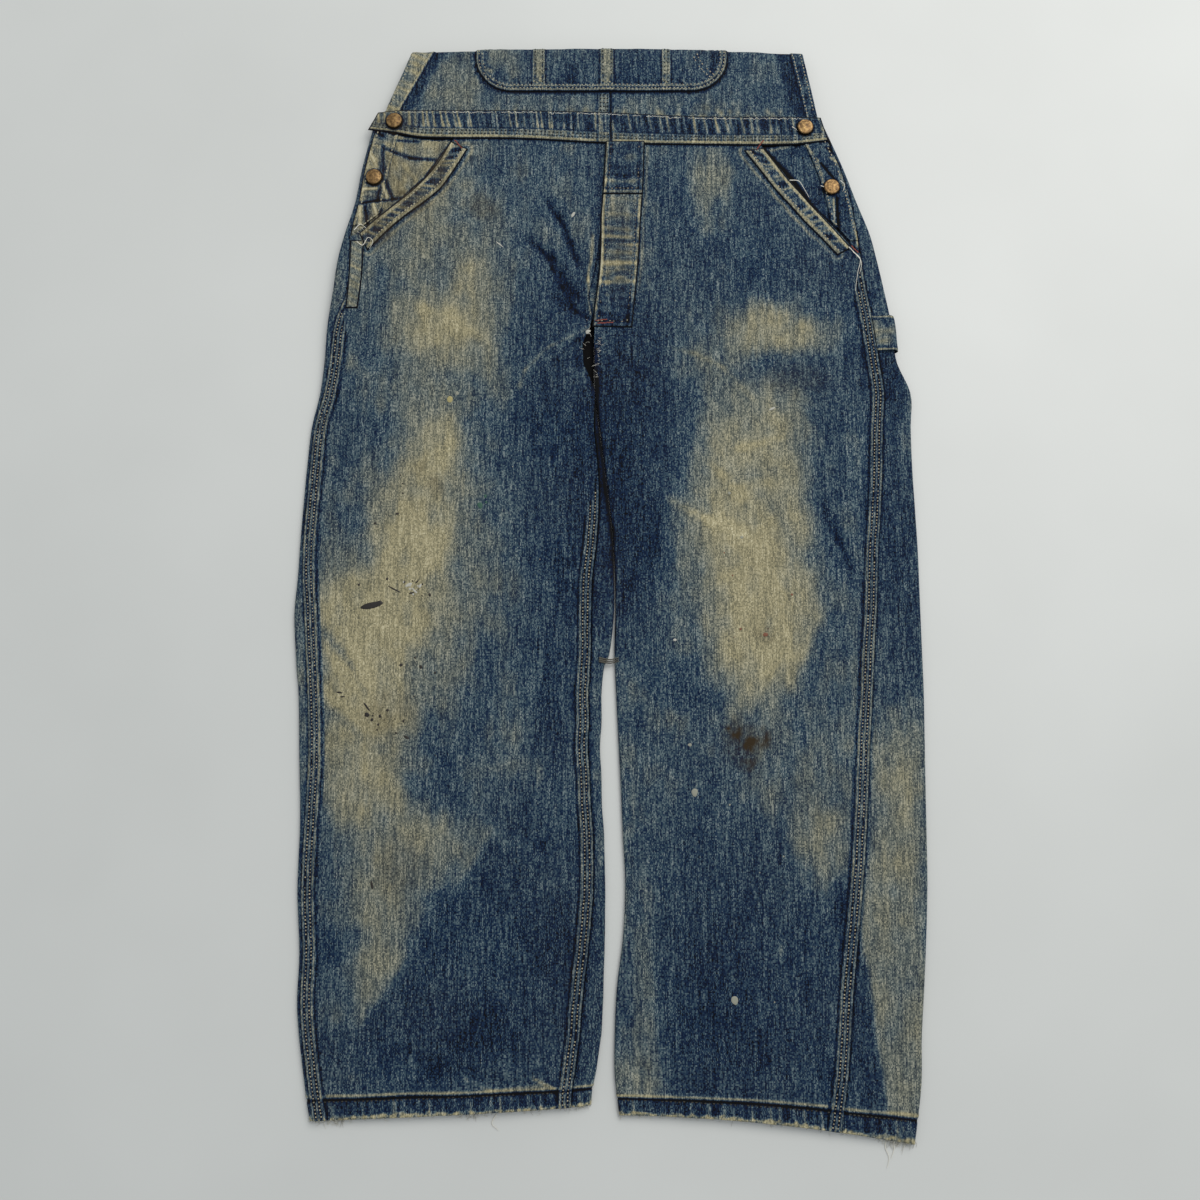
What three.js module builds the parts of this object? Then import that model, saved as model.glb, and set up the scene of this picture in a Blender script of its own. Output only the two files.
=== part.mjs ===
// Denim bib overalls laid face up, with the bib and the upper back folded behind the waist.
// Millimetres, +Z up, +Y from the hems to the bib, origin on the floor under the middle.
// Left and right are the wearer's, so the right leg is at -X.
import * as THREE from 'three';

const { lerp, smoothstep } = THREE.MathUtils;

// Cloth
const CLOTH = 1.1; // wall of one layer of denim
const GAP = 0.3; // between pieces that meet or lie on each other
const PLY = CLOTH + GAP; // one layer lying on another
const BAND_WALL = 1.6; // waistband, two layers pressed together

// Heights of the flattened garment
const LEG_HEIGHT = 5; // both layers of a leg at its rolled edges
const HIP_EXTRA = 1.5;
const HEM_EXTRA = 0.7; // turned up hem
const HEM_DEPTH = 15;
const CROWN = 1.4; // the middle of a leg stands over its edges
const CROWN_REACH = 55;
const RIPPLE = 0.7; // slow unevenness of the cloth
const HIP_BASE = 2 * PLY + 2.8 + GAP; // the hips lie on pocket, bib and folded back
const RAMP_FOOT_Y = 90; // below here the legs lie on the floor
const RAMP_HEAD_Y = 300;
const CROTCH_Y = 168;
const ROLL_Y = 132; // below here each inner leg edge is rolled shut
const PANEL_TOP_Y = 441;
const CALM_Y = 405; // above here the cloth is held flat by the waistband

// Meshes
const STATIONS = 24;
const FRONT_COLUMNS = 16;
const BACK_COLUMNS = 20;
const FLAT_STEP = 24;
const ROLL_STEP = 2.4;

function table(columns, rows) {
  return rows.map((row) => Object.fromEntries(columns.map((name, i) => [name, row[i]])));
}

// Sections of the legs, by y at the inner edge.
// Skew is how much further down the outer edge of a section lies.
// Outseam and inseam are the distances of the seams from the edges, on the top face.
// A seam that has rolled underneath has a distance below zero.
const LEG_COLUMN_NAMES = ['at', 'skew', 'outerX', 'innerX', 'outseam', 'inseam'];
const RIGHT_LEG = {
  inward: 1,
  hemPower: 0.7, // the hem drops at once, then runs level to the outer edge
  rows: table(LEG_COLUMN_NAMES, [
    [-499, -14, -267, -14, 3.5, 17],
    [-474, -8, -273, -12, 3.5, 19],
    [-419, 0, -282, -4, 3.5, 19],
    [-368, 0, -282, -2, 3.5, 15],
    [-313, 0, -286, -3, 4, 11],
    [-248, 0, -286, -5, 5, 10],
    [-191, 0, -289, -6, 9, 11],
    [-131, 0, -292, -5, 9, 12],
    [-106, 0, -295, -3.5, 10, 13],
    [-95, 0, -296, 1.5, 10, 17],
    [-55, 0, -299, 6.3, 10, 21.5],
    [-18, 0, -297, 6.4, 5, 20.5],
    [15, 0, -296, 5.3, 3.5, 15.5],
    [58, 0, -294, 1.1, 3.5, 9],
    [94, 0, -292, -3.5, 3.5, 6],
    [130, 0, -289, -8, 3.5, 5],
    [163, 0, -282, -12, 4.5, 0],
    [196, 0, -278.5, -13, 6, 0],
    [233, 0, -276.5, -12.5, 8, 0],
    [269, 0, -272, -8, 15, 0],
    [300, 0, -268.5, -5.5, 12.5, 0],
    [327, 0, -262.5, -5, 7, 0],
    [361, 0, -253, -3.5, 4.5, 0],
    [398, 0, -247, -0.5, 4, 0],
    [441, 0, -237.5, 1, 4, 0],
  ]),
  mouth: table(['at', 'reach'], [[326, 12.5], [358, 41], [388, 68], [425, 83.3], [441, 90.5]]),
};
const LEFT_LEG = {
  inward: -1,
  hemPower: 1.9, // the hem runs level, then drops towards the outer edge
  rows: table(LEG_COLUMN_NAMES, [
    [-508, -25, 274, 10, 66, -36],
    [-474, -9, 282, 6, 67, -36],
    [-443, 0, 284, 6, 65, -35],
    [-400, 0, 288, 8, 65, -34],
    [-352, 0, 292, 14, 63, -33],
    [-305, 0, 295, 16, 60, -33],
    [-264, 0, 296, 14, 57, -33],
    [-216, 0, 297, 12, 54, -33],
    [-174, 0, 298, 10, 52, -33],
    [-131, 0, 299, 8, 49, -32],
    [-90, 0, 299, 6.5, 46, -31],
    [-46, 0, 299, 7.5, 42, -30],
    [6, 0, 299, 6.5, 39, -28],
    [48, 0, 298, 3, 34, -18],
    [88, 0, 297, -2, 30, -8],
    [130, 0, 297, -7, 28, 0],
    [163, 0, 298, -12, 27, 0],
    [196, 0, 285, -13, 18, 0],
    [233, 0, 281, -12.5, 19, 0],
    [269, 0, 274.5, -8, 18.5, 0],
    [300, 0, 268.5, -5.5, 16.5, 0],
    [327, 0, 262.5, -5, 13.5, 0],
    [361, 0, 250.5, -3.5, 6.5, 0],
    [398, 0, 238, -0.5, 4, 0],
    [441, 0, 221, 1, 4, 0],
  ]),
  mouth: table(['at', 'reach'], [[308, 19.5], [321, 27.5], [356, 47.5], [384, 60], [417, 71.5], [441, 80]]),
};

// The right front stands back from the centre line beside the fly and where the crotch seam is ripped.
const GAPE = table(['at', 'width'], [
  [168, 0], [178, 4], [192, 10], [212, 11], [230, 4], [240, 3], [262, 10], [300, 5], [345, 0],
]);

// Largest folds of the top layer: a line, half its width, and its height or depth.
const FOLDS = table(['x1', 'y1', 'x2', 'y2', 'width', 'height'], [
  [-75, 318, -32, 263, 11, -2.2],
  [-51, 354, -25, 290, 9, -1.8],
  [-47, 260, -19, 237, 9, -1.6],
  [-271, -69, -226, -137, 16, 2.4],
  [204, 51, 232, -9, 14, -1.8],
  [48, 41, 24, -27, 13, -1.8],
  [-52, -3, -29, -53, 12, -1.5],
  [-151, -469, -83, -486, 12, -1.3],
  [-109, -257, -58, -292, 13, 1.8],
  [-19, 223, -86, 181, 15, 1.8],
  [61, 51, 132, 12, 16, 1.8],
  [-2, 223, 82, 186, 15, 1.4],
  [92, 208, 150, 157, 18, 2],
]);

// Waistband edges across the front
const BAND = table(['at', 'bottom', 'top'], [
  [-239, 440, 456], [-215, 437, 458], [-187, 432, 458], [-88, 430.5, 458],
  [-5, 426, 456], [93, 424, 451.5], [185, 424, 451], [221, 428, 450],
]);
const BAND_END_SLANT = { right: 8, left: -6 };

// Bib: its edges by the length of cloth from the waist
const BIB_FOOT_Y = 443;
const BIB_LENGTH = 300;
const BIB_EDGES = table(['at', 'rightX', 'leftX'], [[0, -231, 215], [84, -198, 199], [300, -150, 142]]);
const BIB_SEAM_X = -2;
const FOLD_Y = 529.5; // the fold at the middle of the bib
const FOLD_SAG = 4; // how far it drops towards the sides
const BIB_COLUMNS = 6;

// Bib pocket
const POCKET_RIGHT_X = -133;
const POCKET_LEFT_X = 122;
const POCKET_BOTTOM = 39;
const POCKET_TOP = 229;
const POCKET_CORNER = 36;

// Fly, from its top down
const FLY = table(['at', 'rightX', 'leftX'], [
  [231, -12.5, 23], [249, -11, 24.5], [284, -6.5, 28], [310, -5, 30],
  [345, -4.5, 32], [372, -2.5, 34], [424, 0.5, 36],
]);
const FLY_TAB_FOOT_Y = 370;
const UNDERLAP = { footY: 238, headY: 352, rightReach: 28, leftReach: 12, depth: 2.6 };

// Pocket welts: the edge at the mouth and the edge on the garment
const WELT_COLUMN_NAMES = ['mouthX', 'mouthY', 'panelX', 'panelY'];
const WELTS = {
  right: table(WELT_COLUMN_NAMES, [
    [-157, 424, -143, 417], [-168, 404, -155, 396], [-180, 387, -168, 376], [-196, 370, -184, 361],
    [-212, 356, -203, 346], [-230, 341, -221, 330], [-245, 327, -238, 312],
  ]),
  left: table(WELT_COLUMN_NAMES, [
    [157, 417, 141, 415], [169, 400, 157, 393], [180, 384, 171, 373], [192, 369, 184, 357],
    [204, 354, 197, 341], [220, 336, 213, 324], [240, 312, 229, 306],
  ]),
};
const FACING_UNDER = 20; // how far a facing runs in behind the front panel
const SIDE_BAND_WIDTH = 24;
const SIDE_BAND_FOOT_Y = { right: 336, left: 320 };
const VENT = table(['at', 'outerX', 'innerX'], [[251, -256.5, -248], [280, -254.5, -245], [318, -254, -244]]);

// Hammer loop
const LOOP_FOOT_Y = 206;
const LOOP_HEAD_Y = 241;
const LOOP_UNDER = 45; // length underneath the leg
const LOOP_SLACK = 2.2; // how far it stands off the edge of the leg

// Side buttons
const BUTTON_PROFILE = [
  [0, 0], [5.2, 0], [5.2, 1.1], [7.8, 1.5], [7.8, 2.3], [6.8, 3.1], [4.1, 3.7], [0, 3.9],
];
const BUTTON_SIDES = 18;
const BUTTONS = [
  { name: 'button_waist_right', x: -215, y: 447, lift: GAP + BAND_WALL },
  { name: 'button_side_right', x: -234, y: 387, lift: 0 },
  { name: 'button_waist_left', x: 200, y: 440, lift: GAP + BAND_WALL },
  { name: 'button_side_left', x: 225, y: 376, lift: 0 },
];

// Upper back and straps, folded out of sight inside the bib
const BACK_FOLD = table(['y', 'rightX', 'leftX', 'bottom', 'top'], [
  [345, -112, 100, 3.2, 5.0],
  [352, -118, 106, 2.8, 5.6],
  [395, -160, 146, 2.8, 5.6],
  [442, -188, 172, 2.8, 5.6],
  [446, -188, 173, 2.8, 10.6],
  [485, -188, 176, 2.8, 10.9],
  [514, -186, 176, 2.8, 10.9],
  [519, -182, 172, 4.2, 9.6],
]);
const BACK_FOLD_LAYERS = 3;
const BACK_FOLD_BULGE = 2.2;

// Reads one column of a table as a smooth line, at a value of its first column.
function read(rows, column, at) {
  const last = rows.length - 1;
  if (at <= rows[0].at) return rows[0][column];
  if (at >= rows[last].at) return rows[last][column];
  let i = 0;
  while (rows[i + 1].at < at) i += 1;
  const slope = (k) => {
    const before = rows[Math.max(k - 1, 0)];
    const after = rows[Math.min(k + 1, last)];
    return (after[column] - before[column]) / (after.at - before.at);
  };
  const span = rows[i + 1].at - rows[i].at;
  const t = (at - rows[i].at) / span;
  const rise = t * t * (3 - 2 * t);
  const leave = t * (1 - t) * (1 - t) * span * slope(i);
  const arrive = t * t * (t - 1) * span * slope(i + 1);
  return lerp(rows[i][column], rows[i + 1][column], rise) + leave + arrive;
}

// Reads a column as straight lines between its rows, and holds the ends.
function readStraight(rows, column, at) {
  const last = rows.length - 1;
  if (at <= rows[0].at) return rows[0][column];
  if (at >= rows[last].at) return rows[last][column];
  let i = 0;
  while (rows[i + 1].at < at) i += 1;
  return lerp(rows[i][column], rows[i + 1][column], (at - rows[i].at) / (rows[i + 1].at - rows[i].at));
}

function baseHeight(y) {
  return HIP_BASE * smoothstep(y, RAMP_FOOT_Y, RAMP_HEAD_Y);
}

function legHeight(leg, y) {
  const hem = y < leg.rows[0].at + HEM_DEPTH ? HEM_EXTRA : 0;
  return LEG_HEIGHT + HIP_EXTRA * smoothstep(y, RAMP_FOOT_Y, RAMP_HEAD_Y) + hem;
}

function foldHeight(x, y) {
  let sum = 0;
  for (const f of FOLDS) {
    const dx = f.x2 - f.x1;
    const dy = f.y2 - f.y1;
    const length = Math.hypot(dx, dy);
    const along = ((x - f.x1) * dx + (y - f.y1) * dy) / length;
    const across = ((x - f.x1) * dy - (y - f.y1) * dx) / length;
    const beyond = Math.max(-along, along - length, 0);
    sum += f.height * Math.exp(-((across / f.width) ** 2) - (beyond / (1.6 * f.width)) ** 2);
  }
  return sum;
}

// Outer face of the top layer of a leg, at a point of its plan.
function topHeight(leg, x, y, stationY) {
  const calm = 1 - smoothstep(y, CALM_Y - 60, CALM_Y);
  const open = smoothstep(stationY, ROLL_Y, CROTCH_Y);
  const fromOuter = Math.abs(x - read(leg.rows, 'outerX', stationY)) - LEG_HEIGHT / 2;
  const fromInner = Math.abs(x - read(leg.rows, 'innerX', stationY)) - LEG_HEIGHT / 2;
  const rise = smoothstep(fromOuter, 0, CROWN_REACH) * lerp(smoothstep(fromInner, 0, CROWN_REACH), 1, open);
  const ripple = RIPPLE * Math.sin(x / 41 + 1) * Math.sin(y / 67 + 0.6);
  return baseHeight(stationY) + legHeight(leg, stationY) + calm * rise * (CROWN + ripple + foldHeight(x, y));
}

function legOf(x) {
  return x < 0 ? RIGHT_LEG : LEFT_LEG;
}

function topAt(x, y) {
  return y > PANEL_TOP_Y ? topHeight(legOf(x), x, PANEL_TOP_Y, PANEL_TOP_Y) : topHeight(legOf(x), x, y, y);
}

function topNormal(leg, x, y, stationY) {
  const d = 0.5;
  const slopeX = (topHeight(leg, x + d, y, stationY) - topHeight(leg, x - d, y, stationY)) / (2 * d);
  const slopeY = (topHeight(leg, x, y + d, stationY + d) - topHeight(leg, x, y - d, stationY - d)) / (2 * d);
  return new THREE.Vector3(-slopeX, -slopeY, 1).normalize();
}

// Lengths of the round of one leg: half of it runs from the outer edge over the top to the inner edge.
function section(leg, y) {
  const outer = read(leg.rows, 'outerX', y);
  const inner = read(leg.rows, 'innerX', y);
  const height = legHeight(leg, y);
  const outerRoll = height / 2;
  const innerRoll = (height / 2) * (1 - smoothstep(y, ROLL_Y, CROTCH_Y));
  const outerArc = (outerRoll * Math.PI) / 2;
  const innerArc = (innerRoll * Math.PI) / 2;
  const flat = Math.abs(inner - outer) - outerRoll - innerRoll;
  const half = outerArc + flat + innerArc;
  return { outer, inner, height, outerRoll, innerRoll, outerArc, innerArc, flat, half, base: baseHeight(y) };
}

// The outer face of a leg, a length round it from its outer edge: over the top, or below zero underneath.
function ring(leg, y, length) {
  const s = section(leg, y);
  let q = length;
  if (q < -s.half) q += 2 * s.half;
  if (q > s.half) q -= 2 * s.half;
  const up = q >= 0 ? 1 : -1;
  const run = Math.abs(q);
  const skew = read(leg.rows, 'skew', y);
  const yAt = (x) => y + skew * Math.max((x - s.inner) / (s.outer - s.inner), 0) ** leg.hemPower;
  const middle = s.base + s.height / 2;
  if (run < s.outerArc) {
    const angle = run / s.outerRoll;
    const x = s.outer + leg.inward * s.outerRoll * (1 - Math.cos(angle));
    const z = middle + up * s.outerRoll * Math.sin(angle);
    return {
      point: new THREE.Vector3(x, yAt(x), z),
      normal: new THREE.Vector3(-leg.inward * Math.cos(angle), 0, up * Math.sin(angle)),
    };
  }
  if (run <= s.outerArc + s.flat || s.innerRoll < 0.01) {
    const x = s.outer + leg.inward * (s.outerRoll + Math.min(run - s.outerArc, s.flat));
    const py = yAt(x);
    if (up > 0) {
      return { point: new THREE.Vector3(x, py, topHeight(leg, x, py, y)), normal: topNormal(leg, x, py, y) };
    }
    const slope = baseHeight(y + 0.5) - baseHeight(y - 0.5);
    return { point: new THREE.Vector3(x, py, s.base), normal: new THREE.Vector3(0, slope, -1).normalize() };
  }
  const angle = (run - s.outerArc - s.flat) / s.innerRoll;
  const x = s.inner - leg.inward * s.innerRoll * (1 - Math.sin(angle));
  const rim = up > 0 ? s.base + s.height - s.innerRoll : s.base + s.innerRoll;
  return {
    point: new THREE.Vector3(x, yAt(x), rim + up * s.innerRoll * Math.cos(angle)),
    normal: new THREE.Vector3(leg.inward * Math.sin(angle), 0, up * Math.cos(angle)),
  };
}

// The length round a leg at which the plan distance from its outer edge is reached.
function lengthFromOuter(s, distance) {
  if (distance >= s.outerRoll) return s.outerArc + distance - s.outerRoll;
  return s.outerRoll * Math.acos(1 - Math.max(distance, 0) / s.outerRoll);
}

function lengthFromInner(s, distance) {
  const run = Math.abs(distance);
  if (run >= s.innerRoll) return Math.sign(distance) * (s.innerArc + run - s.innerRoll);
  return (distance * Math.PI) / 2;
}

// Lengths at which a panel is sampled: close together on the rolled edges, wide on the flats.
function spread(s, start, end, count) {
  const steps = 240;
  const sums = [0];
  const edges = [0, s.half, -s.half];
  for (let i = 0; i < steps; i += 1) {
    const q = lerp(start, end, (i + 0.5) / steps);
    const onOuter = Math.abs(q) < s.outerArc;
    const onInner = s.innerRoll > 0.5 && edges.slice(1).some((edge) => Math.abs(q - edge) < s.innerArc);
    sums.push(sums[i] + (onOuter || onInner ? 1 / ROLL_STEP : 1 / FLAT_STEP));
  }
  const lengths = [];
  let k = 0;
  for (let c = 0; c < count; c += 1) {
    const want = (sums[steps] * c) / (count - 1);
    while (k < steps - 1 && sums[k + 1] < want) k += 1;
    const share = (want - sums[k]) / (sums[k + 1] - sums[k]);
    lengths.push(lerp(start, end, (k + Math.min(Math.max(share, 0), 1)) / steps));
  }
  return lengths;
}

// Where the sections are taken along a leg: both sides of the hem line, then evenly to the waist.
function stations(leg) {
  const hem = leg.rows[0].at;
  const list = [hem, hem + HEM_DEPTH - 0.2, hem + HEM_DEPTH + 1.8];
  const from = hem + 42;
  for (let i = 0; i < STATIONS; i += 1) list.push(lerp(from, PANEL_TOP_Y, i / (STATIONS - 1)));
  return list;
}

function frontPanel(leg, gape) {
  return stations(leg).map((y) => {
    const s = section(leg, y);
    const mouth = y > leg.mouth[0].at ? readStraight(leg.mouth, 'reach', y) : 0;
    const start = lengthFromOuter(s, Math.max(read(leg.rows, 'outseam', y), mouth));
    const back = lengthFromInner(s, read(leg.rows, 'inseam', y)) + gape * readStraight(GAPE, 'width', y);
    return spread(s, start, s.half - back - GAP, FRONT_COLUMNS).map((q) => ring(leg, y, q));
  });
}

function backPanel(leg) {
  return stations(leg).map((y) => {
    const s = section(leg, y);
    const start = -(s.half + lengthFromInner(s, read(leg.rows, 'inseam', y))) + GAP;
    const end = lengthFromOuter(s, read(leg.rows, 'outseam', y)) - GAP;
    return spread(s, start, end, BACK_COLUMNS).map((q) => ring(leg, y, q));
  });
}

// A piece lying on the top face, from rows of plan points; lift is the height of its own upper face.
function laid(rows, lift) {
  return rows.map((row) => row.map(([x, y]) => ({
    point: new THREE.Vector3(x, y, topAt(x, y) + lift),
    normal: new THREE.Vector3(0, 0, 1),
  })));
}

function strip(count, columns, rowAt) {
  const rows = [];
  for (let r = 0; r < count; r += 1) {
    const [from, to] = rowAt(r / (count - 1));
    const row = [];
    for (let c = 0; c < columns; c += 1) {
      const t = c / (columns - 1);
      row.push([lerp(from[0], to[0], t), lerp(from[1], to[1], t)]);
    }
    rows.push(row);
  }
  return rows;
}

// A closed wall: the outer face given as rows of points with normals, and the inner face behind it.
function wall(rows, thickness) {
  const height = rows.length;
  const width = rows[0].length;
  const positions = [];
  const add = (depth) => rows.forEach((row) => row.forEach(({ point, normal }) => {
    const p = point.clone().addScaledVector(normal, -depth);
    positions.push(p.x, p.y, p.z);
  }));
  add(0);
  add(thickness);
  const out = (r, c) => r * width + c;
  const back = (r, c) => height * width + r * width + c;
  const middle = Math.floor(width / 2);
  const low = Math.floor(height / 2) - 1;
  const across = rows[low][middle].point.clone().sub(rows[low][middle - 1].point);
  const along = rows[low + 1][middle].point.clone().sub(rows[low][middle].point);
  const flip = across.cross(along).dot(rows[low][middle].normal) < 0;
  const index = [];
  const quad = (a, b, c, d) => index.push(...(flip ? [a, c, b, a, d, c] : [a, b, c, a, c, d]));
  for (let r = 0; r < height - 1; r += 1) {
    for (let c = 0; c < width - 1; c += 1) {
      quad(out(r, c), out(r, c + 1), out(r + 1, c + 1), out(r + 1, c));
      quad(back(r, c + 1), back(r, c), back(r + 1, c), back(r + 1, c + 1));
    }
    quad(out(r, 0), out(r + 1, 0), back(r + 1, 0), back(r, 0));
    quad(out(r + 1, width - 1), out(r, width - 1), back(r, width - 1), back(r + 1, width - 1));
  }
  for (let c = 0; c < width - 1; c += 1) {
    quad(out(0, c + 1), out(0, c), back(0, c), back(0, c + 1));
    quad(out(height - 1, c), out(height - 1, c + 1), back(height - 1, c + 1), back(height - 1, c));
  }
  return closed(positions, index);
}

function closed(positions, index) {
  const geometry = new THREE.BufferGeometry();
  geometry.setAttribute('position', new THREE.Float32BufferAttribute(positions, 3));
  geometry.setIndex(index);
  geometry.computeVertexNormals();
  return geometry;
}

// A body through rings of points, each ring the same length, with flat ends.
function loft(rings) {
  const n = rings[0].length;
  const positions = rings.flat().flat();
  const index = [];
  for (let r = 0; r < rings.length - 1; r += 1) {
    for (let i = 0; i < n; i += 1) {
      const j = (i + 1) % n;
      index.push(r * n + i, r * n + j, (r + 1) * n + j, r * n + i, (r + 1) * n + j, (r + 1) * n + i);
    }
  }
  const cap = (r, turn) => {
    const centre = positions.length / 3;
    const mean = [0, 1, 2].map((k) => rings[r].reduce((sum, p) => sum + p[k], 0) / n);
    positions.push(...mean);
    for (let i = 0; i < n; i += 1) {
      const a = r * n + i;
      const b = r * n + ((i + 1) % n);
      index.push(...(turn ? [centre, b, a] : [centre, a, b]));
    }
  };
  cap(0, true);
  cap(rings.length - 1, false);
  return closed(positions, index);
}

// The bib: across it in x, and along its cloth from the waist over the fold.
const BIB_TOP_Z = topAt(0, PANEL_TOP_Y);
const BIB_UNDER_Z = PLY;
const FOLD_RADIUS = (BIB_TOP_Z - BIB_UNDER_Z) / 2;
function bibPoint(x, length) {
  const foldY = FOLD_Y - FOLD_SAG * ((x + 14) / 200) ** 2;
  const straight = foldY - FOLD_RADIUS - BIB_FOOT_Y;
  const turn = Math.PI * FOLD_RADIUS;
  if (length <= straight) {
    const point = new THREE.Vector3(x, BIB_FOOT_Y + length, BIB_TOP_Z);
    return { point, normal: new THREE.Vector3(0, 0, 1) };
  }
  if (length < straight + turn) {
    const angle = (length - straight) / FOLD_RADIUS;
    const normal = new THREE.Vector3(0, Math.sin(angle), Math.cos(angle));
    const centre = new THREE.Vector3(x, foldY - FOLD_RADIUS, BIB_UNDER_Z + FOLD_RADIUS);
    return { point: centre.addScaledVector(normal, FOLD_RADIUS), normal };
  }
  const y = foldY - FOLD_RADIUS - (length - straight - turn);
  return { point: new THREE.Vector3(x, y, BIB_UNDER_Z), normal: new THREE.Vector3(0, 0, -1) };
}

const FOLD_START = FOLD_Y - FOLD_SAG - FOLD_RADIUS - BIB_FOOT_Y - 1;
const FOLD_END = FOLD_START + FOLD_SAG + 2 + Math.PI * FOLD_RADIUS;

function bibLengths(from, to, before, after) {
  const list = [];
  for (let i = 0; i < before; i += 1) list.push(lerp(from, FOLD_START, i / before));
  const turns = 8;
  for (let i = 0; i < turns; i += 1) list.push(lerp(FOLD_START, FOLD_END, i / turns));
  for (let i = 0; i <= after; i += 1) list.push(lerp(FOLD_END, to, i / after));
  return list;
}

function bibHalf(side) {
  return bibLengths(0, BIB_LENGTH, 3, 4).map((length) => {
    const edge = readStraight(BIB_EDGES, side === 'right' ? 'rightX' : 'leftX', length);
    const seam = BIB_SEAM_X + (side === 'right' ? -GAP / 2 : GAP / 2);
    const row = [];
    for (let c = 0; c < BIB_COLUMNS; c += 1) {
      row.push(bibPoint(lerp(edge, seam, c / (BIB_COLUMNS - 1)), length));
    }
    return row;
  });
}

function bibPocket() {
  const corner = [0, 0.06, 0.2, 0.42, 0.7, 1]; // close together where the corner is steep
  const straightRight = POCKET_RIGHT_X + POCKET_CORNER;
  const straightLeft = POCKET_LEFT_X - POCKET_CORNER;
  const xs = [
    ...corner.map((t) => POCKET_RIGHT_X + POCKET_CORNER * t),
    ...[0.2, 0.4, 0.6, 0.8].map((t) => lerp(straightRight, straightLeft, t)),
    ...corner.toReversed().map((t) => POCKET_LEFT_X - POCKET_CORNER * t),
  ];
  const bottomAt = (x) => {
    const into = Math.max(straightRight - x, x - straightLeft, 0);
    return POCKET_BOTTOM + POCKET_CORNER - Math.sqrt(Math.max(POCKET_CORNER ** 2 - into ** 2, 0));
  };
  const columns = xs.map((x) => {
    const lengths = bibLengths(Math.min(bottomAt(x), FOLD_START - 2), POCKET_TOP, 3, 3);
    return lengths.map((length) => {
      const { point, normal } = bibPoint(x, length);
      return { point: point.addScaledVector(normal, PLY), normal };
    });
  });
  return columns[0].map((_, r) => columns.map((column) => column[r]));
}

function waistband() {
  const left = BAND[BAND.length - 1].at;
  const right = BAND[0].at;
  const rows = strip(25, 4, (t) => {
    const x = lerp(right, left, t);
    const slant = lerp(BAND_END_SLANT.right, BAND_END_SLANT.left, t);
    return [[x, read(BAND, 'bottom', x)], [x + slant * (2 * Math.abs(t - 0.5)) ** 6, read(BAND, 'top', x)]];
  });
  return laid(rows, GAP + BAND_WALL);
}

function flyStrip(footY, count, lift) {
  const head = FLY[FLY.length - 1].at;
  const rows = strip(count, 4, (t) => {
    const y = lerp(head, footY, t);
    return [[read(FLY, 'rightX', y), y], [read(FLY, 'leftX', y), y]];
  });
  return laid(rows, lift);
}

function flyUnderlap() {
  const rows = strip(7, 4, (t) => {
    const y = lerp(UNDERLAP.headY, UNDERLAP.footY, t);
    const centre = read(RIGHT_LEG.rows, 'innerX', y);
    return [[centre - UNDERLAP.rightReach, y], [centre + UNDERLAP.leftReach, y]];
  });
  return laid(rows, -UNDERLAP.depth);
}

function facing(leg) {
  const foot = leg.mouth[0].at - 12;
  const rows = strip(8, 6, (t) => {
    const y = lerp(PANEL_TOP_Y, foot, t);
    const outer = read(leg.rows, 'outerX', y);
    const edge = read(leg.rows, 'outseam', y) + GAP;
    const mouth = readStraight(leg.mouth, 'reach', y) + FACING_UNDER;
    return [[outer + leg.inward * edge, y], [outer + leg.inward * mouth, y]];
  });
  return laid(rows, -PLY);
}

function sideBand(leg, footY) {
  const rows = strip(8, 4, (t) => {
    const y = lerp(PANEL_TOP_Y, footY, t);
    const outer = read(leg.rows, 'outerX', y);
    const edge = read(leg.rows, 'outseam', y) + GAP;
    const width = Math.min(SIDE_BAND_WIDTH, readStraight(leg.mouth, 'reach', y) - edge - 4);
    return [[outer + leg.inward * edge, y], [outer + leg.inward * (edge + width), y]];
  });
  return laid(rows, 0);
}

function welt(rows) {
  const plan = rows.map((row) => [0, 0.5, 1].map((t) => [
    lerp(row.mouthX, row.panelX, t),
    lerp(row.mouthY, row.panelY, t),
  ]));
  return laid(plan, PLY);
}

function ventFacing() {
  const rows = strip(5, 3, (t) => {
    const y = lerp(VENT[VENT.length - 1].at, VENT[0].at, t);
    return [[read(VENT, 'outerX', y), y], [read(VENT, 'innerX', y), y]];
  });
  return laid(rows, PLY);
}

function hammerLoop() {
  const rows = [];
  for (let r = 0; r < 4; r += 1) {
    const y = lerp(LOOP_FOOT_Y, LOOP_HEAD_Y, r / 3);
    const s = section(LEFT_LEG, y);
    const start = lengthFromOuter(s, read(LEFT_LEG.rows, 'outseam', y));
    rows.push(spread(s, -LOOP_UNDER, start, 13).map((q) => {
      const { point, normal } = ring(LEFT_LEG, y, q);
      const slack = LOOP_SLACK * Math.exp(-((q / 14) ** 2));
      return { point: point.addScaledVector(normal, PLY + slack), normal };
    }));
  }
  return rows;
}

function button(profile) {
  const points = profile.map(([radius, height]) => new THREE.Vector2(radius, height));
  return new THREE.LatheGeometry(points, BUTTON_SIDES).rotateX(Math.PI / 2);
}

// How high a button stands: clear of the highest cloth under its foot.
function buttonHeight({ x, y, lift }) {
  const foot = BUTTON_PROFILE[1][0];
  const around = [0, 1, 2, 3, 4, 5, 6, 7].map((i) => (i * Math.PI) / 4);
  const heights = around.map((angle) => topAt(x + foot * Math.cos(angle), y + foot * Math.sin(angle)));
  return Math.max(topAt(x, y), ...heights) + lift + GAP;
}

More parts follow.
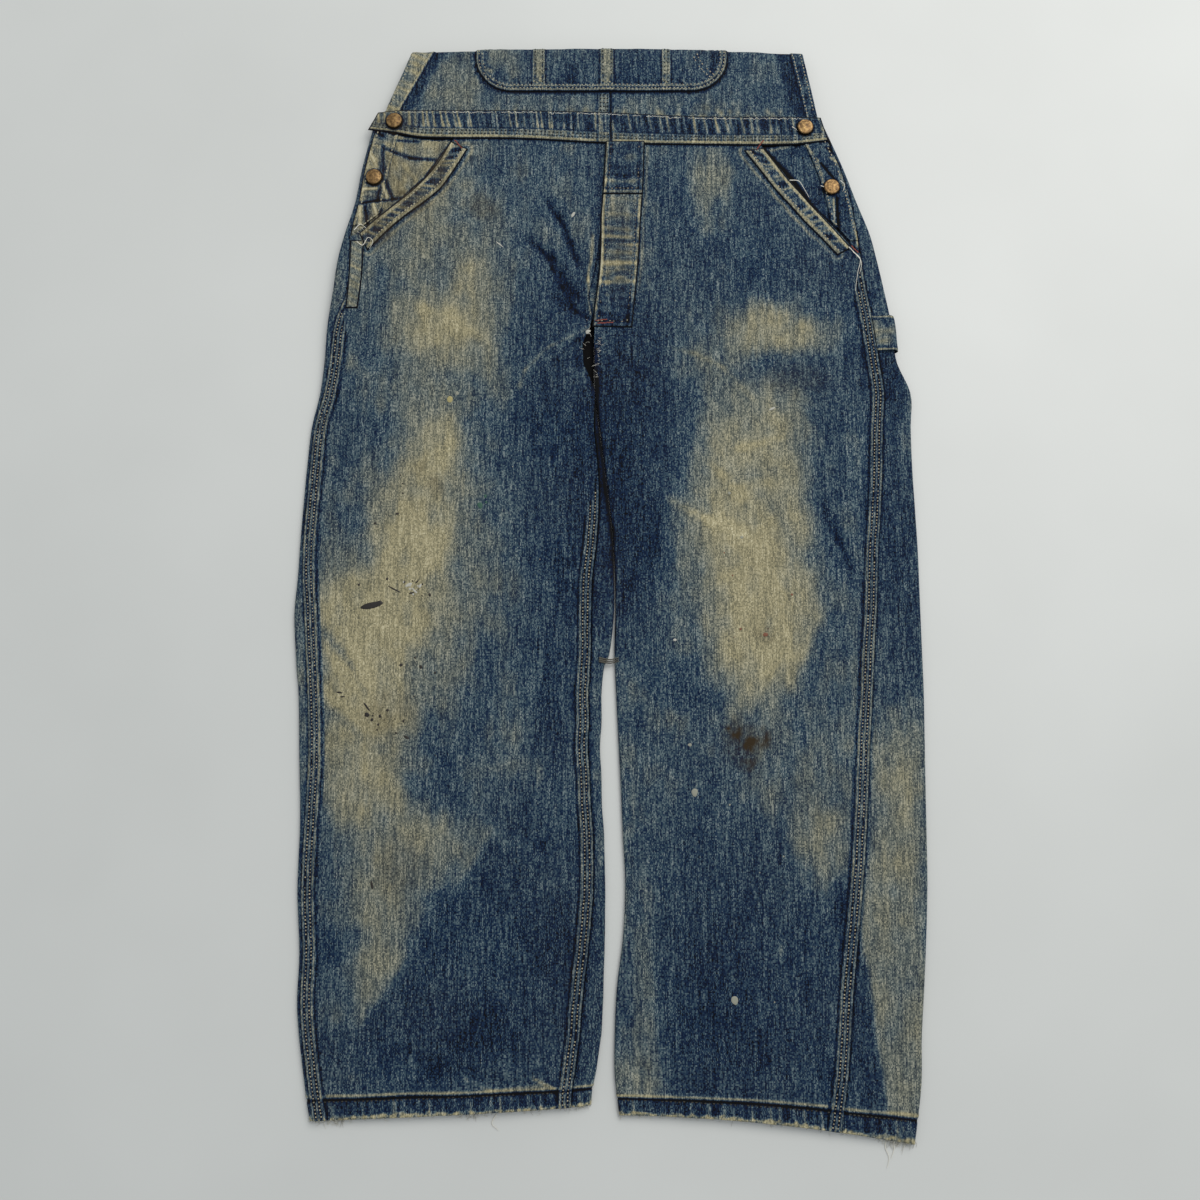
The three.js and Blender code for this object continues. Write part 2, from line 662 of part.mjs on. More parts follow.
// One section of the folded back: flat over and under, a rounded end for each layer.
function backFold() {
  const rings = BACK_FOLD.map((row) => {
    const outline = [];
    const scallop = (t) => BACK_FOLD_BULGE * Math.abs(Math.sin(Math.PI * BACK_FOLD_LAYERS * t));
    const ends = 4 * BACK_FOLD_LAYERS;
    for (let i = 0; i <= ends; i += 1) {
      const t = i / ends;
      outline.push([row.leftX + scallop(t), row.y, lerp(row.bottom, row.top, t)]);
    }
    for (let i = 1; i < 4; i += 1) outline.push([lerp(row.leftX, row.rightX, i / 4), row.y, row.top]);
    for (let i = 0; i <= ends; i += 1) {
      const t = i / ends;
      outline.push([row.rightX - scallop(t), row.y, lerp(row.top, row.bottom, t)]);
    }
    for (let i = 1; i < 4; i += 1) outline.push([lerp(row.rightX, row.leftX, i / 4), row.y, row.bottom]);
    return outline;
  });
  return loft(rings.toReversed());
}

// Build
const COLOURS = { indigo: 0x3c5674, faded: 0x6f7c86, pale: 0x9c9681, dark: 0x22334c, bronze: 0x8a6a45 };
const garment = new THREE.Group();
garment.name = 'dungarees';

function place(name, geometry, colour, metalness = 0) {
  const roughness = metalness ? 0.45 : 0.95;
  const material = new THREE.MeshStandardMaterial({ color: COLOURS[colour], metalness, roughness });
  const mesh = new THREE.Mesh(geometry, material);
  mesh.name = name;
  garment.add(mesh);
  return mesh;
}

place('front_leg_right', wall(frontPanel(RIGHT_LEG, 1), CLOTH), 'indigo');
place('front_leg_left', wall(frontPanel(LEFT_LEG, 0), CLOTH), 'indigo');
place('back_leg_right', wall(backPanel(RIGHT_LEG), CLOTH), 'dark');
place('back_leg_left', wall(backPanel(LEFT_LEG), CLOTH), 'dark');
place('waistband', wall(waistband(), BAND_WALL), 'faded');
place('bib_right', wall(bibHalf('right'), CLOTH), 'indigo');
place('bib_left', wall(bibHalf('left'), CLOTH), 'indigo');
place('bib_pocket', wall(bibPocket(), CLOTH), 'indigo');
place('fly_placket', wall(flyStrip(FLY[0].at, 10, PLY), CLOTH), 'pale');
place('fly_tab', wall(flyStrip(FLY_TAB_FOOT_Y, 5, 2 * PLY), CLOTH), 'pale');
place('fly_underlap', wall(flyUnderlap(), CLOTH), 'dark');
place('pocket_facing_right', wall(facing(RIGHT_LEG), CLOTH), 'pale');
place('pocket_facing_left', wall(facing(LEFT_LEG), CLOTH), 'indigo');
place('pocket_welt_right', wall(welt(WELTS.right), CLOTH), 'faded');
place('pocket_welt_left', wall(welt(WELTS.left), CLOTH), 'faded');
place('side_band_right', wall(sideBand(RIGHT_LEG, SIDE_BAND_FOOT_Y.right), CLOTH), 'pale');
place('side_band_left', wall(sideBand(LEFT_LEG, SIDE_BAND_FOOT_Y.left), CLOTH), 'faded');
place('vent_facing_right', wall(ventFacing(), CLOTH), 'pale');
place('hammer_loop', wall(hammerLoop(), CLOTH), 'indigo');
place('back_fold', backFold(), 'dark');
for (const row of BUTTONS) {
  const mesh = place(row.name, button(BUTTON_PROFILE), 'bronze', 0.9);
  mesh.position.set(row.x, row.y, buttonHeight(row));
}

export default garment;
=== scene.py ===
# Worn, paint spattered denim overalls laid face up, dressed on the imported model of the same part.
# Sizes are millimetres until a mesh is made; +Z is up and +Y runs from the hems to the bib.
# Left and right are the wearer's, so the right leg is at -X.
import math
from collections import namedtuple
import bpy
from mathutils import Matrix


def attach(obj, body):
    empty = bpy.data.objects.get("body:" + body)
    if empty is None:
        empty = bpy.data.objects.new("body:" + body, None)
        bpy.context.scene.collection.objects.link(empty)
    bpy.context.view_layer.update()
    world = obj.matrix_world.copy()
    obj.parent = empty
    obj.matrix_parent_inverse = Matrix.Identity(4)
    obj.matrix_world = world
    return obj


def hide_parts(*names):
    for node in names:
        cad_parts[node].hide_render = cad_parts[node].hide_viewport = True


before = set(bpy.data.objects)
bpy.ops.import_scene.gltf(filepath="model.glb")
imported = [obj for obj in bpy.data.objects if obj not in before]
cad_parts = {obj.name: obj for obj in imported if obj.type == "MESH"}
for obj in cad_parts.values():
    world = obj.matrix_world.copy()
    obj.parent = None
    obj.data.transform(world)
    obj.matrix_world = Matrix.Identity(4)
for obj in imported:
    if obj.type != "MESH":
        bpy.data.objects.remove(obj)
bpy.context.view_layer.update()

from types import SimpleNamespace

import bpy
import numpy as np

MM = 0.001

# Cloth, as in the part
CLOTH = 1.1
GAP = 0.3
PLY = CLOTH + GAP
BAND_WALL = 1.6

# Heights of the flattened garment, as in the part
LEG_HEIGHT = 5
HIP_EXTRA = 1.5
HEM_EXTRA = 0.7
HEM_DEPTH = 15
CROWN = 1.4
CROWN_REACH = 55
RIPPLE = SimpleNamespace(height=0.7, across=41, along=67)
HIP_BASE = 2 * PLY + 2.8 + GAP
RAMP_FOOT_Y = 90
RAMP_HEAD_Y = 300
CROTCH_Y = 168
ROLL_Y = 132
PANEL_TOP_Y = 441
CALM_Y = 405
CALM_REACH = 60
EDGE_REACH = 12  # fine relief grows to its full height over this distance from an edge
WAVE_TOP = (-130, -105)  # the wavy stretch of an inner edge ends between these heights

# Sewing
SEAM_WIDTH = 11.5  # felled seam, stitched down on the front
SEAM_RISE = 0.8
SEAM_WEDGE = 0.35  # the seam shows more and more of its width below its top
SEAM_ROWS = (3.5, 8.0)  # distances of its stitch rows from the edge
STITCH = SimpleNamespace(length=2.3, gap=1.5, width=1.25, height=0.5)
SEAM_STITCH = SimpleNamespace(length=1.5, gap=1.7, width=2.1, height=0.45)
STRIP_STITCH = SimpleNamespace(length=2.0, gap=2.0, width=1.9, height=0.55)
TACK_STITCH = SimpleNamespace(length=2.2, gap=-0.9, width=1.2, height=0.5)
STRIP_TONE = (-0.3, 0.2)  # wash of the dark stitches on pale strips, from and to; their dark is painted shade of the needle pits
FULL_TONE = (0.3, 1.0)  # wash of other stitches, from and to
# Heights above a hem: top of its band, the groove and the ridge over it, and top of the frayed edge
HEM_LINES = SimpleNamespace(band=(12.2, 13.2), groove=13.8, ridge=16.5, frayed=(1.9, 4.0))
CREVICE = -0.25  # wash of a shaded gap


def smoothstep(value, low, high):
    t = np.clip((value - low) / (high - low), 0, 1)
    return t * t * (3 - 2 * t)


def lerp(a, b, t):
    return a + (b - a) * t


def named(columns, rows):
    kind = namedtuple("Row", columns, defaults=(0,))
    return [kind(*row) for row in rows]


class Table:
    """Rows of numbers with named columns, in the order of the first one."""

    def __init__(self, columns, rows):
        values = np.array(rows, float)
        self.at = values[:, 0]
        self.columns = dict(zip(columns.split(), values.T))

    def straight(self, column, at):
        return np.interp(at, self.at, self.columns[column])

    def smooth(self, column, at):
        """A smooth line through the rows, held level beyond the ends."""
        values = self.columns[column]
        last = len(values) - 1
        after = np.minimum(np.arange(last + 1) + 1, last)
        before = np.maximum(np.arange(last + 1) - 1, 0)
        slope = (values[after] - values[before]) / (self.at[after] - self.at[before])
        at = np.clip(at, self.at[0], self.at[-1])
        i = np.clip(np.searchsorted(self.at, at) - 1, 0, last - 1)
        span = self.at[i + 1] - self.at[i]
        t = (at - self.at[i]) / span
        rise = lerp(values[i], values[i + 1], t * t * (3 - 2 * t))
        return rise + span * (t * (1 - t) ** 2 * slope[i] + t * t * (t - 1) * slope[i + 1])


# Sections of the legs, as in the part; along the gap the left inner edge lies half a millimetre closer
LEG_COLUMNS = "at skew outer inner outseam inseam"
RIGHT_LEG = SimpleNamespace(
    inward=1,
    hem_power=0.7,
    hem=-499,
    rows=Table(LEG_COLUMNS, [
        [-499, -14, -267, -14, 3.5, 17], [-474, -8, -273, -12, 3.5, 19], [-419, 0, -282, -4, 3.5, 19],
        [-368, 0, -282, -2, 3.5, 15], [-313, 0, -286, -3, 4, 11], [-248, 0, -286, -5, 5, 10],
        [-191, 0, -289, -6, 9, 11], [-131, 0, -292, -5, 9, 12], [-106, 0, -295, -3.5, 10, 13],
        [-95, 0, -296, 1.5, 10, 17], [-55, 0, -299, 6.3, 10, 21.5], [-18, 0, -297, 6.4, 5, 20.5],
        [15, 0, -296, 5.3, 3.5, 15.5], [58, 0, -294, 1.1, 3.5, 9], [94, 0, -292, -3.5, 3.5, 6],
        [130, 0, -289, -8, 3.5, 5], [163, 0, -282, -12, 4.5, 0], [196, 0, -278.5, -13, 6, 0],
        [233, 0, -276.5, -12.5, 8, 0], [269, 0, -272, -8, 15, 0], [300, 0, -268.5, -5.5, 12.5, 0],
        [327, 0, -262.5, -5, 7, 0], [361, 0, -253, -3.5, 4.5, 0], [398, 0, -247, -0.5, 4, 0],
        [441, 0, -237.5, 1, 4, 0],
    ]),
    mouth=Table("at reach", [[326, 12.5], [358, 41], [388, 68], [425, 83.3], [441, 90.5]]),
    gape=1,
    wave=1.4,
    seam_top=262,
    inseam_top=80,
)
LEFT_LEG = SimpleNamespace(
    inward=-1,
    hem_power=1.9,
    hem=-508,
    rows=Table(LEG_COLUMNS, [
        [-508, -25, 274, 10, 66, -36], [-474, -9, 282, 6, 67, -36], [-443, 0, 284, 6, 65, -35],
        [-400, 0, 288, 8, 65, -34], [-352, 0, 292, 14, 63, -33], [-305, 0, 295, 16, 60, -33],
        [-264, 0, 296, 14, 57, -33], [-216, 0, 297, 12, 54, -33], [-174, 0, 298, 10, 52, -33],
        [-131, 0, 299, 8, 49, -32], [-90, 0, 299, 6.5, 46, -31], [-46, 0, 299, 7.5, 42, -30],
        [6, 0, 299, 6.0, 39, -28], [48, 0, 298, 2.5, 34, -18], [88, 0, 297, -2.5, 30, -8],
        [130, 0, 297, -7.6, 28, 0], [163, 0, 298, -12, 27, 0], [196, 0, 285, -13, 18, 0],
        [233, 0, 281, -12.5, 19, 0], [269, 0, 274.5, -8, 18.5, 0], [300, 0, 268.5, -5.5, 16.5, 0],
        [327, 0, 262.5, -5, 13.5, 0], [361, 0, 250.5, -3.5, 6.5, 0], [398, 0, 238, -0.5, 4, 0],
        [441, 0, 221, 1, 4, 0],
    ]),
    mouth=Table("at reach", [[308, 19.5], [321, 27.5], [356, 47.5], [384, 60], [417, 71.5], [441, 80]]),
    gape=0,
    wave=0,
    seam_top=300,
    inseam_top=-900,
)
LEGS = {"right": RIGHT_LEG, "left": LEFT_LEG}
GAPE = Table("at width", [
    [168, 0], [178, 4], [192, 10], [212, 11], [230, 4], [240, 3], [262, 10], [300, 5], [345, 0],
])

# Largest folds of the top layer, as in the part: a line, half its width, and its height or depth
FOLD_COLUMNS = "x1 y1 x2 y2 width height"
FOLDS = named(FOLD_COLUMNS, [
    [-75, 318, -32, 263, 11, -2.2],
    [-51, 354, -25, 290, 9, -1.8],
    [-47, 260, -19, 237, 9, -1.6],
    [-271, -69, -226, -137, 16, 2.4],
    [204, 51, 232, -9, 14, -1.8],
    [48, 41, 24, -27, 13, -1.8],
    [-52, -3, -29, -53, 12, -1.5],
    [-151, -469, -83, -486, 12, -1.3],
    [-109, -257, -58, -292, 13, 1.8],
    [-19, 223, -86, 181, 15, 1.8],
    [61, 51, 132, 12, 16, 1.8],
    [-2, 223, 82, 186, 15, 1.4],
    [92, 208, 150, 157, 18, 2],
])
# Finer creases of the top layer, drawn the same way
CREASES = named(FOLD_COLUMNS, [
    [-59, 360, -48, 344, 3, -1.4], [-48, 344, -30, 298, 3, -1.8], [-78, 321, -58, 302, 3.5, -1.4],
    [-58, 302, -33, 265, 3.5, -1.8], [-46, 258, -22, 240, 4, -1.2], [-14, 325, -19, 278, 2, 1.4],
    [-19, 278, -17, 244, 2, 1.4], [-18, 228, -46, 216, 5, 0.7], [-20, 214, -64, 172, 5, -0.8],
    [-12, 200, -38, 150, 5, 0.8], [10, 212, 60, 196, 5, -0.7], [8, 196, 42, 160, 5, 0.7],
    [96, 96, 128, 62, 5, 0.8], [60, 56, 98, 34, 3.5, 1.0], [98, 34, 132, 22, 3.5, 0.9],
    [126, 106, 166, 118, 4, 0.8], [112, 74, 158, 84, 4, -0.6], [150, 60, 176, 26, 5, -0.7],
    [204, -53, 173, -126, 5, 0.9], [214, -60, 190, -128, 6, -0.8], [160, -120, 126, -172, 6, -0.9],
    [118, -150, 142, -186, 5, 0.8], [60, -150, 96, -186, 6, 0.7], [44, -240, 90, -262, 6, -0.6],
    [190, -230, 226, -290, 7, 0.7], [204, -350, 176, -410, 7, -0.7], [96, -404, 150, -442, 7, 0.6],
    [30, -470, 90, -486, 5, -0.7], [120, -478, 196, -484, 5, 0.6], [-288, -40, -250, -96, 6, -0.8],
    [-266, -75, -242, -105, 4, -1.0], [-242, -105, -230, -127, 4, -1.0], [-276, -120, -232, -160, 6, 0.8],
    [-262, -150, -212, -182, 5, -0.8], [-220, -60, -168, -88, 6, 0.6], [-176, -176, -132, -206, 6, -0.7],
    [-130, -206, -86, -196, 6, 0.7], [-118, -240, -60, -270, 5, -0.7], [-101, -255, -150, -330, 7, 0.7],
    [-60, -320, -30, -372, 7, -0.6], [-250, -330, -216, -384, 6, 0.6], [-238, -440, -176, -458, 6, -0.6],
    [-160, -452, -92, -470, 4, 0.7], [-262, -470, -206, -480, 5, 0.5], [-188, 252, -116, 214, 6, 0.6],
    [-226, 292, -176, 256, 6, -0.6], [-250, 190, -196, 158, 7, 0.6], [-150, 150, -112, 92, 7, -0.6],
    [130, 262, 196, 232, 6, 0.6], [214, 262, 172, 228, 5, -0.6], [236, 150, 206, 96, 6, -0.6],
    [208, 52, 222, 20, 3.5, -1.1], [222, 20, 234, -8, 3.5, -1.0], [60, -180, 76, -150, 4, 0.6],
    [190, 152, 214, 128, 4, -0.7], [-96, 40, -70, 8, 5, 0.6], [30, 330, 44, 260, 4, 0.6],
    # crests round the crotch
    [-21, 225, -56, 210, 2.0, 0.5], [-56, 210, -80, 186, 2.2, 0.6], [-80, 186, -85, 170, 2.2, 0.5],
    [-85, 170, -78, 111, 2.4, 0.4], [34, 219, 84, 203, 2.4, 0.4], [84, 203, 113, 189, 2.4, 0.45],
    [113, 189, 142, 159, 2.6, 0.4],
    # crests above the right hem
    [-140, -474, -126, -478, 2.0, 0.4], [-126, -478, -106, -486, 1.8, 0.7],
    [-106, -486, -57, -484, 1.8, 0.9], [-66, -478, -50, -485, 1.6, 1.2],
])
# Creases and pleats of the cloth seen in the hip openings
HIP_LINES = named(FOLD_COLUMNS, [
    [-223, 418, -198, 409, 1.6, -1.2], [-198, 409, -173, 407, 1.6, -1.2], [-211, 428, -191, 427, 1.4, -0.9],
    [-226, 421, -225, 394, 1.5, -0.9], [-228, 376, -230, 363, 1.5, -1.2], [-222, 383, -215, 365, 1.5, -1.2],
    [-225, 379, -220, 365, 1.3, 1.0], [-244, 375, -232, 375, 1.4, 1.0], [-253, 359, -210, 365, 1.5, -1.3],
    [-247, 354, -247, 336, 1.4, 1.0], [-242, 355, -239, 336, 1.4, -1.2], [-234, 358, -230, 346, 1.4, 1.0],
    [-226, 352, -228, 346, 1.4, -1.2], [-239, 439, -227, 433, 1.5, -1.2], [-244, 425, -232, 400, 1.6, 0.7],
    [-205, 402, -192, 384, 2.6, 0.2], [-212, 392, -200, 376, 2.6, -0.2],
    [162, 416, 199, 425, 1.6, 0.4], [199, 425, 212, 406, 1.5, 0.45], [212, 406, 217, 385, 1.5, 0.45],
    [216, 402, 230, 383, 1.6, -1.2], [230, 367, 231, 332, 1.6, -1.0], [227, 364, 227, 334, 1.3, 0.8],
    [249, 361, 250, 316, 1.5, 1.0], [221, 420, 232, 412, 1.6, -0.8], [224, 409, 234, 402, 1.6, 0.7],
])

# Waistband, bib and bib pocket, as in the part
BAND = Table("at bottom top", [
    [-239, 440, 456], [-215, 437, 458], [-187, 432, 458], [-88, 430.5, 458],
    [-5, 426, 456], [93, 424, 451.5], [185, 424, 451], [221, 428, 450],
])
BAND_HEIGHT = 30
BAND_END_SLANT = SimpleNamespace(right=8, left=-6)
BIB_FOOT_Y = 443
BIB_LENGTH = 300
BIB_SHOULDER = 84  # length where its edges bend
BIB_EDGES = Table("at right left", [[0, -231, 215], [BIB_SHOULDER, -198, 199], [BIB_LENGTH, -150, 142]])
BIB_SEAM_X = -2
FOLD_Y = 529.5
FOLD_SAG = 4
FOLD_MIDDLE_X = -14
FOLD_HALF = 200
POCKET = SimpleNamespace(right=-133, left=122, bottom=39, top=229, corner=36)
POCKET_DIVISIONS = ((-75, -64), (-6, 6), (57, 64))  # pale strips between its compartments

# Fly, as in the part
FLY = Table("at right left", [
    [231, -12.5, 23], [249, -11, 24.5], [284, -6.5, 28], [310, -5, 30],
    [345, -4.5, 32], [372, -2.5, 34], [424, 0.5, 36],
])
FLY_TAB_FOOT_Y = 370
UNDERLAP = SimpleNamespace(foot=238, head=352, right=28, left=12, depth=2.6)

# Pocket welts, facings, side bands and vent, as in the part
WELT_COLUMNS = "at mouth_x mouth_y panel_x panel_y"
WELTS = {
    "right": Table(WELT_COLUMNS, [
        [0, -157, 424, -143, 417], [1, -168, 404, -155, 396], [2, -180, 387, -168, 376],
        [3, -196, 370, -184, 361], [4, -212, 356, -203, 346], [5, -230, 341, -221, 330],
        [6, -245, 327, -238, 312],
    ]),
    "left": Table(WELT_COLUMNS, [
        [0, 157, 417, 141, 415], [1, 169, 400, 157, 393], [2, 180, 384, 171, 373],
        [3, 192, 369, 184, 357], [4, 204, 354, 197, 341], [5, 220, 336, 213, 324],
        [6, 240, 312, 229, 306],
    ]),
}
WELT_LENGTH = 140
FACING_UNDER = 20
FACING_BELOW = 12
SIDE_BAND_WIDTH = 24
SIDE_BAND_FOOT = {"right": 336, "left": 320}
VENT = Table("at outer inner", [[251, -256.5, -248], [280, -254.5, -245], [318, -254, -244]])
LOOP = SimpleNamespace(foot=206, head=241, under=45, slack=2.2, bend=8, slack_reach=14)
BUTTONS = named("name x y lift", [
    ["button_waist_right", -215, 447, GAP + BAND_WALL],
    ["button_side_right", -234, 387, 0],
    ["button_waist_left", 200, 440, GAP + BAND_WALL],
    ["button_side_left", 225, 376, 0],
])
BUTTON_FOOT = 5.2
BUTTON_PROFILE = (
    (0, 0), (5.2, 0), (5.2, 1.1), (7.5, 1.35), (7.8, 1.7), (7.8, 2.3), (7.5, 2.8), (6.9, 3.1),
    (6.3, 3.05), (5.9, 3.1), (4.1, 3.6), (2.0, 3.82), (0, 3.9),
)
BACK_FOLD = Table("at right left bottom top", [
    [345, -112, 100, 3.2, 5.0], [352, -118, 106, 2.8, 5.6], [395, -160, 146, 2.8, 5.6],
    [442, -188, 172, 2.8, 5.6], [446, -188, 173, 2.8, 10.6], [485, -188, 176, 2.8, 10.9],
    [514, -186, 176, 2.8, 10.9], [519, -182, 172, 4.2, 9.6],
])
BACK_FOLD_LAYERS = 3
BACK_FOLD_BULGE = 2.2

# Fades and dark patches of the top layer: middle, half sizes, level of wash, how far it is reached,
# and turn in degrees. Wash runs from 0, dark indigo, to 1, worn to a cream tan.
PATCH_COLUMNS = "x y wide long level share turn"
TOP_PATCHES = named(PATCH_COLUMNS, [
    # right leg, from the hip down
    [-185, 330, 75, 150, 0.62, 1.0], [-50, 370, 55, 90, 0.48, 0.9], [-40, 160, 60, 110, 0.22, 1.0],
    [-12, 90, 40, 120, 0.08, 0.9], [-50, 20, 45, 110, 0.27, 0.9], [-255, 230, 40, 120, 0.46, 0.9],
    [-265, 80, 30, 50, 0.44, 0.8], [-160, 232, 48, 34, 0.86, 1.0], [-132, 282, 22, 40, 0.74, 0.9],
    [-165, 165, 60, 40, 0.6, 0.8], [-168, 105, 34, 50, 0.8, 1.0], [-185, 40, 50, 60, 0.85, 1.0],
    [-182, 5, 30, 36, 0.95, 0.9], [-205, -40, 70, 50, 0.86, 1.0], [-215, -95, 55, 62, 0.93, 1.0],
    [-262, -45, 30, 26, 0.8, 0.9], [-228, -165, 52, 70, 0.82, 1.0], [-222, -230, 40, 60, 0.8, 1.0],
    [-80, -380, 110, 120, 0.24, 1.0], [-165, -272, 62, 32, 0.66, 1.0, -10], [-205, -300, 46, 60, 0.66, 1.0],
    [-212, -370, 24, 70, 0.66, 1.0], [-118, -20, 36, 60, 0.55, 0.8], [-130, -130, 50, 70, 0.44, 0.9],
    # The dark patch at -155, -218 is painted shade.
    [-85, -145, 18, 45, 0.56, 0.8], [-155, -218, 36, 22, 0.36, 0.8], [-120, -155, 18, 20, 0.35, 0.7],
    [-50, -150, 36, 60, 0.24, 0.9], [-75, -235, 26, 22, 0.33, 0.7], [-142, -440, 58, 34, 0.02, 0.95],
    [-50, -350, 24, 40, 0.15, 0.9], [-258, -340, 24, 70, 0.36, 0.9], [-250, -426, 20, 22, 0.5, 0.8],
    [-200, -490, 80, 20, 0.34, 0.8], [-60, -470, 26, 26, 0.33, 0.7], [-292, -200, 10, 280, 0.5, 0.7],
    [-165, -112, 38, 36, 0.68, 0.7], [-150, -55, 28, 46, 0.68, 0.6], [-135, 82, 26, 40, 0.66, 0.6],
    [-135, 198, 26, 18, 0.74, 0.6], [-252, -458, 20, 20, 0.18, 0.7], [-105, -458, 22, 18, 0.16, 0.6],
    # left leg, from the hip down
    [110, 340, 110, 110, 0.36, 1.0], [104, 390, 20, 60, 0.66, 0.9], [60, 420, 50, 24, 0.5, 0.6],
    [170, 300, 70, 60, 0.33, 0.8], [165, 228, 62, 34, 0.68, 1.0], [160, 222, 40, 18, 0.82, 0.95],
    [215, 228, 22, 18, 0.62, 0.8], [25, 160, 50, 120, 0.2, 1.0], [0, 80, 40, 110, 0.1, 0.9],
    [20, -10, 40, 80, 0.2, 0.9], [185, 180, 50, 22, 0.36, 0.8], [212, 162, 16, 20, 0.25, 0.8],
    [145, 110, 62, 60, 0.74, 1.0], [140, 40, 62, 70, 0.82, 1.0], [145, -40, 64, 70, 0.87, 1.0],
    [150, -100, 45, 40, 0.86, 1.0], [143, -138, 28, 26, 0.86, 0.9], [142, -154, 17, 16, 0.74, 0.85],
    [225, 60, 30, 110, 0.42, 0.9], [275, 30, 26, 140, 0.24, 1.0], [255, 200, 20, 30, 0.2, 0.8],
    [200, -180, 90, 60, 0.54, 1.0],
    [60, -170, 50, 70, 0.44, 0.8], [100, -200, 40, 50, 0.36, 0.8], [80, -125, 30, 30, 0.34, 0.7],
    [110, -400, 80, 150, 0.23, 1.0], [105, -430, 34, 70, 0.13, 0.9], [200, -400, 50, 110, 0.28, 0.8],
    [200, -268, 28, 40, 0.66, 0.95], [213, -365, 14, 22, 0.45, 0.8], [210, -430, 12, 26, 0.46, 0.8],
    [272, -230, 28, 80, 0.76, 1.0], [262, -310, 26, 80, 0.68, 1.0], [268, -430, 24, 90, 0.55, 1.0],
    [22, -330, 22, 180, 0.44, 0.9], [34, -420, 10, 90, 0.54, 0.8], [28, -480, 22, 30, 0.72, 0.9],
    [161, -369, 5, 9, 0.6, 0.8], [272, 180, 22, 60, 0.14, 0.8],
    [272, 194, 16, 9, 0.0, 0.9], [140, -220, 28, 26, 0.58, 0.6], [220, 270, 44, 44, 0.26, 0.7],
    [160, -460, 60, 34, 0.18, 0.6], [272, 308, 18, 30, 0.3, 0.7],
])
# Fades of the bib, by the plan of its top side
BIB_PATCHES = named(PATCH_COLUMNS, [
    [-110, 490, 90, 50, 0.52, 0.9], [-160, 490, 26, 26, 0.66, 0.8], [90, 490, 90, 50, 0.42, 0.9],
    [150, 480, 26, 40, 0.44, 0.8], [140, 452, 30, 9, 0.5, 0.6],
])
# Sides of a line that end a fade sharply: the right of the line, seen along it, is brought to a level
EDGE_COLUMNS = "x1 y1 x2 y2 level reach soft"
TOP_EDGES = named(EDGE_COLUMNS, [
    [-219, -429, -101, -255, 0.25, 90, 6],
    [173, -126, 204, -53, 0.46, 60, 7],
    [230, -330, 251, -520, 0.2, 32, 4],
    [251, -520, 230, -330, 0.64, 70, 4],
])
# Shaded gap between the inner edges of the legs, the rip above it and the deepest creases
SHADED_LINES = named(FOLD_COLUMNS, [
    [-15, 208, -12, 174, 6, 0.95], [-11, 176, -7, 115, 2.4, 1], [-7, 115, -2, 66, 2.6, 1],
    [-2, 66, 4.5, 26, 3.2, 1], [4.5, 26, 6.5, -20, 2.6, 1], [6.5, -20, 8, -90, 1.4, 0.8],
    [-57, 355, -43, 337, 1.5, 0.6], [-43, 337, -36, 319, 1.5, 0.7], [-36, 319, -30, 292, 1.6, 0.6],
    [-81, 320, -64, 309, 1.6, 0.5], [-64, 309, -54, 290, 1.7, 0.7], [-54, 290, -45, 271, 1.8, 0.75],
    [-45, 271, -31, 247, 2.2, 0.6], [-31, 247, -19, 239, 2.2, 0.6], [-28, 218, -52, 196, 2.6, 0.35],
    [16, 226, 52, 214, 2.4, 0.35], [10, 206, 34, 176, 2.6, 0.3], [209, 44, 222, 16, 2.0, 0.45],
    [222, 16, 234, -13, 2.0, 0.5],
])
# Fades of the underside
UNDER_PATCHES = named(PATCH_COLUMNS, [
    [-150, 240, 90, 80, 0.66, 0.9], [150, 240, 90, 80, 0.64, 0.9], [-170, 60, 70, 110, 0.48, 0.8],
    [170, 60, 70, 110, 0.48, 0.8], [-180, -110, 60, 90, 0.74, 0.9], [180, -110, 60, 90, 0.7, 0.9],
    [-120, -330, 60, 110, 0.3, 0.9], [140, -330, 60, 110, 0.3, 0.9], [-20, 180, 60, 90, 0.2, 0.9],
    [-230, -420, 40, 60, 0.58, 0.7], [230, -420, 40, 60, 0.58, 0.7],
])
# Brown stains: middle, half sizes, strength
STAINS = named("x y wide long share", [
    [-126, 354, 18, 14, 0.35],
    [175, 176, 46, 18, 0.25],
    [120, -166, 9, 10, 1.1],
    [134, -178, 14, 9, 1.3],
    [146, -172, 8, 10, 0.9],
    [134, -196, 13, 11, 0.7],
    [130, -178, 26, 28, 0.4],
    [-181, 88, 7, 9, 0.35],
    [-164, 69, 8, 10, 0.35],
    [150, -75, 9, 9, 0.3],
    [-205, -150, 30, 26, 0.25],
    [-190, -290, 30, 34, 0.2],
    [-212, 378, 40, 48, 0.35],
    [-168, 396, 14, 30, 0.6],
    [-196, 364, 22, 22, 0.6],
    [-230, 334, 22, 22, 0.6],
    [-215, 446, 36, 14, 0.3],
    [12, 312, 20, 56, 0.3],
])

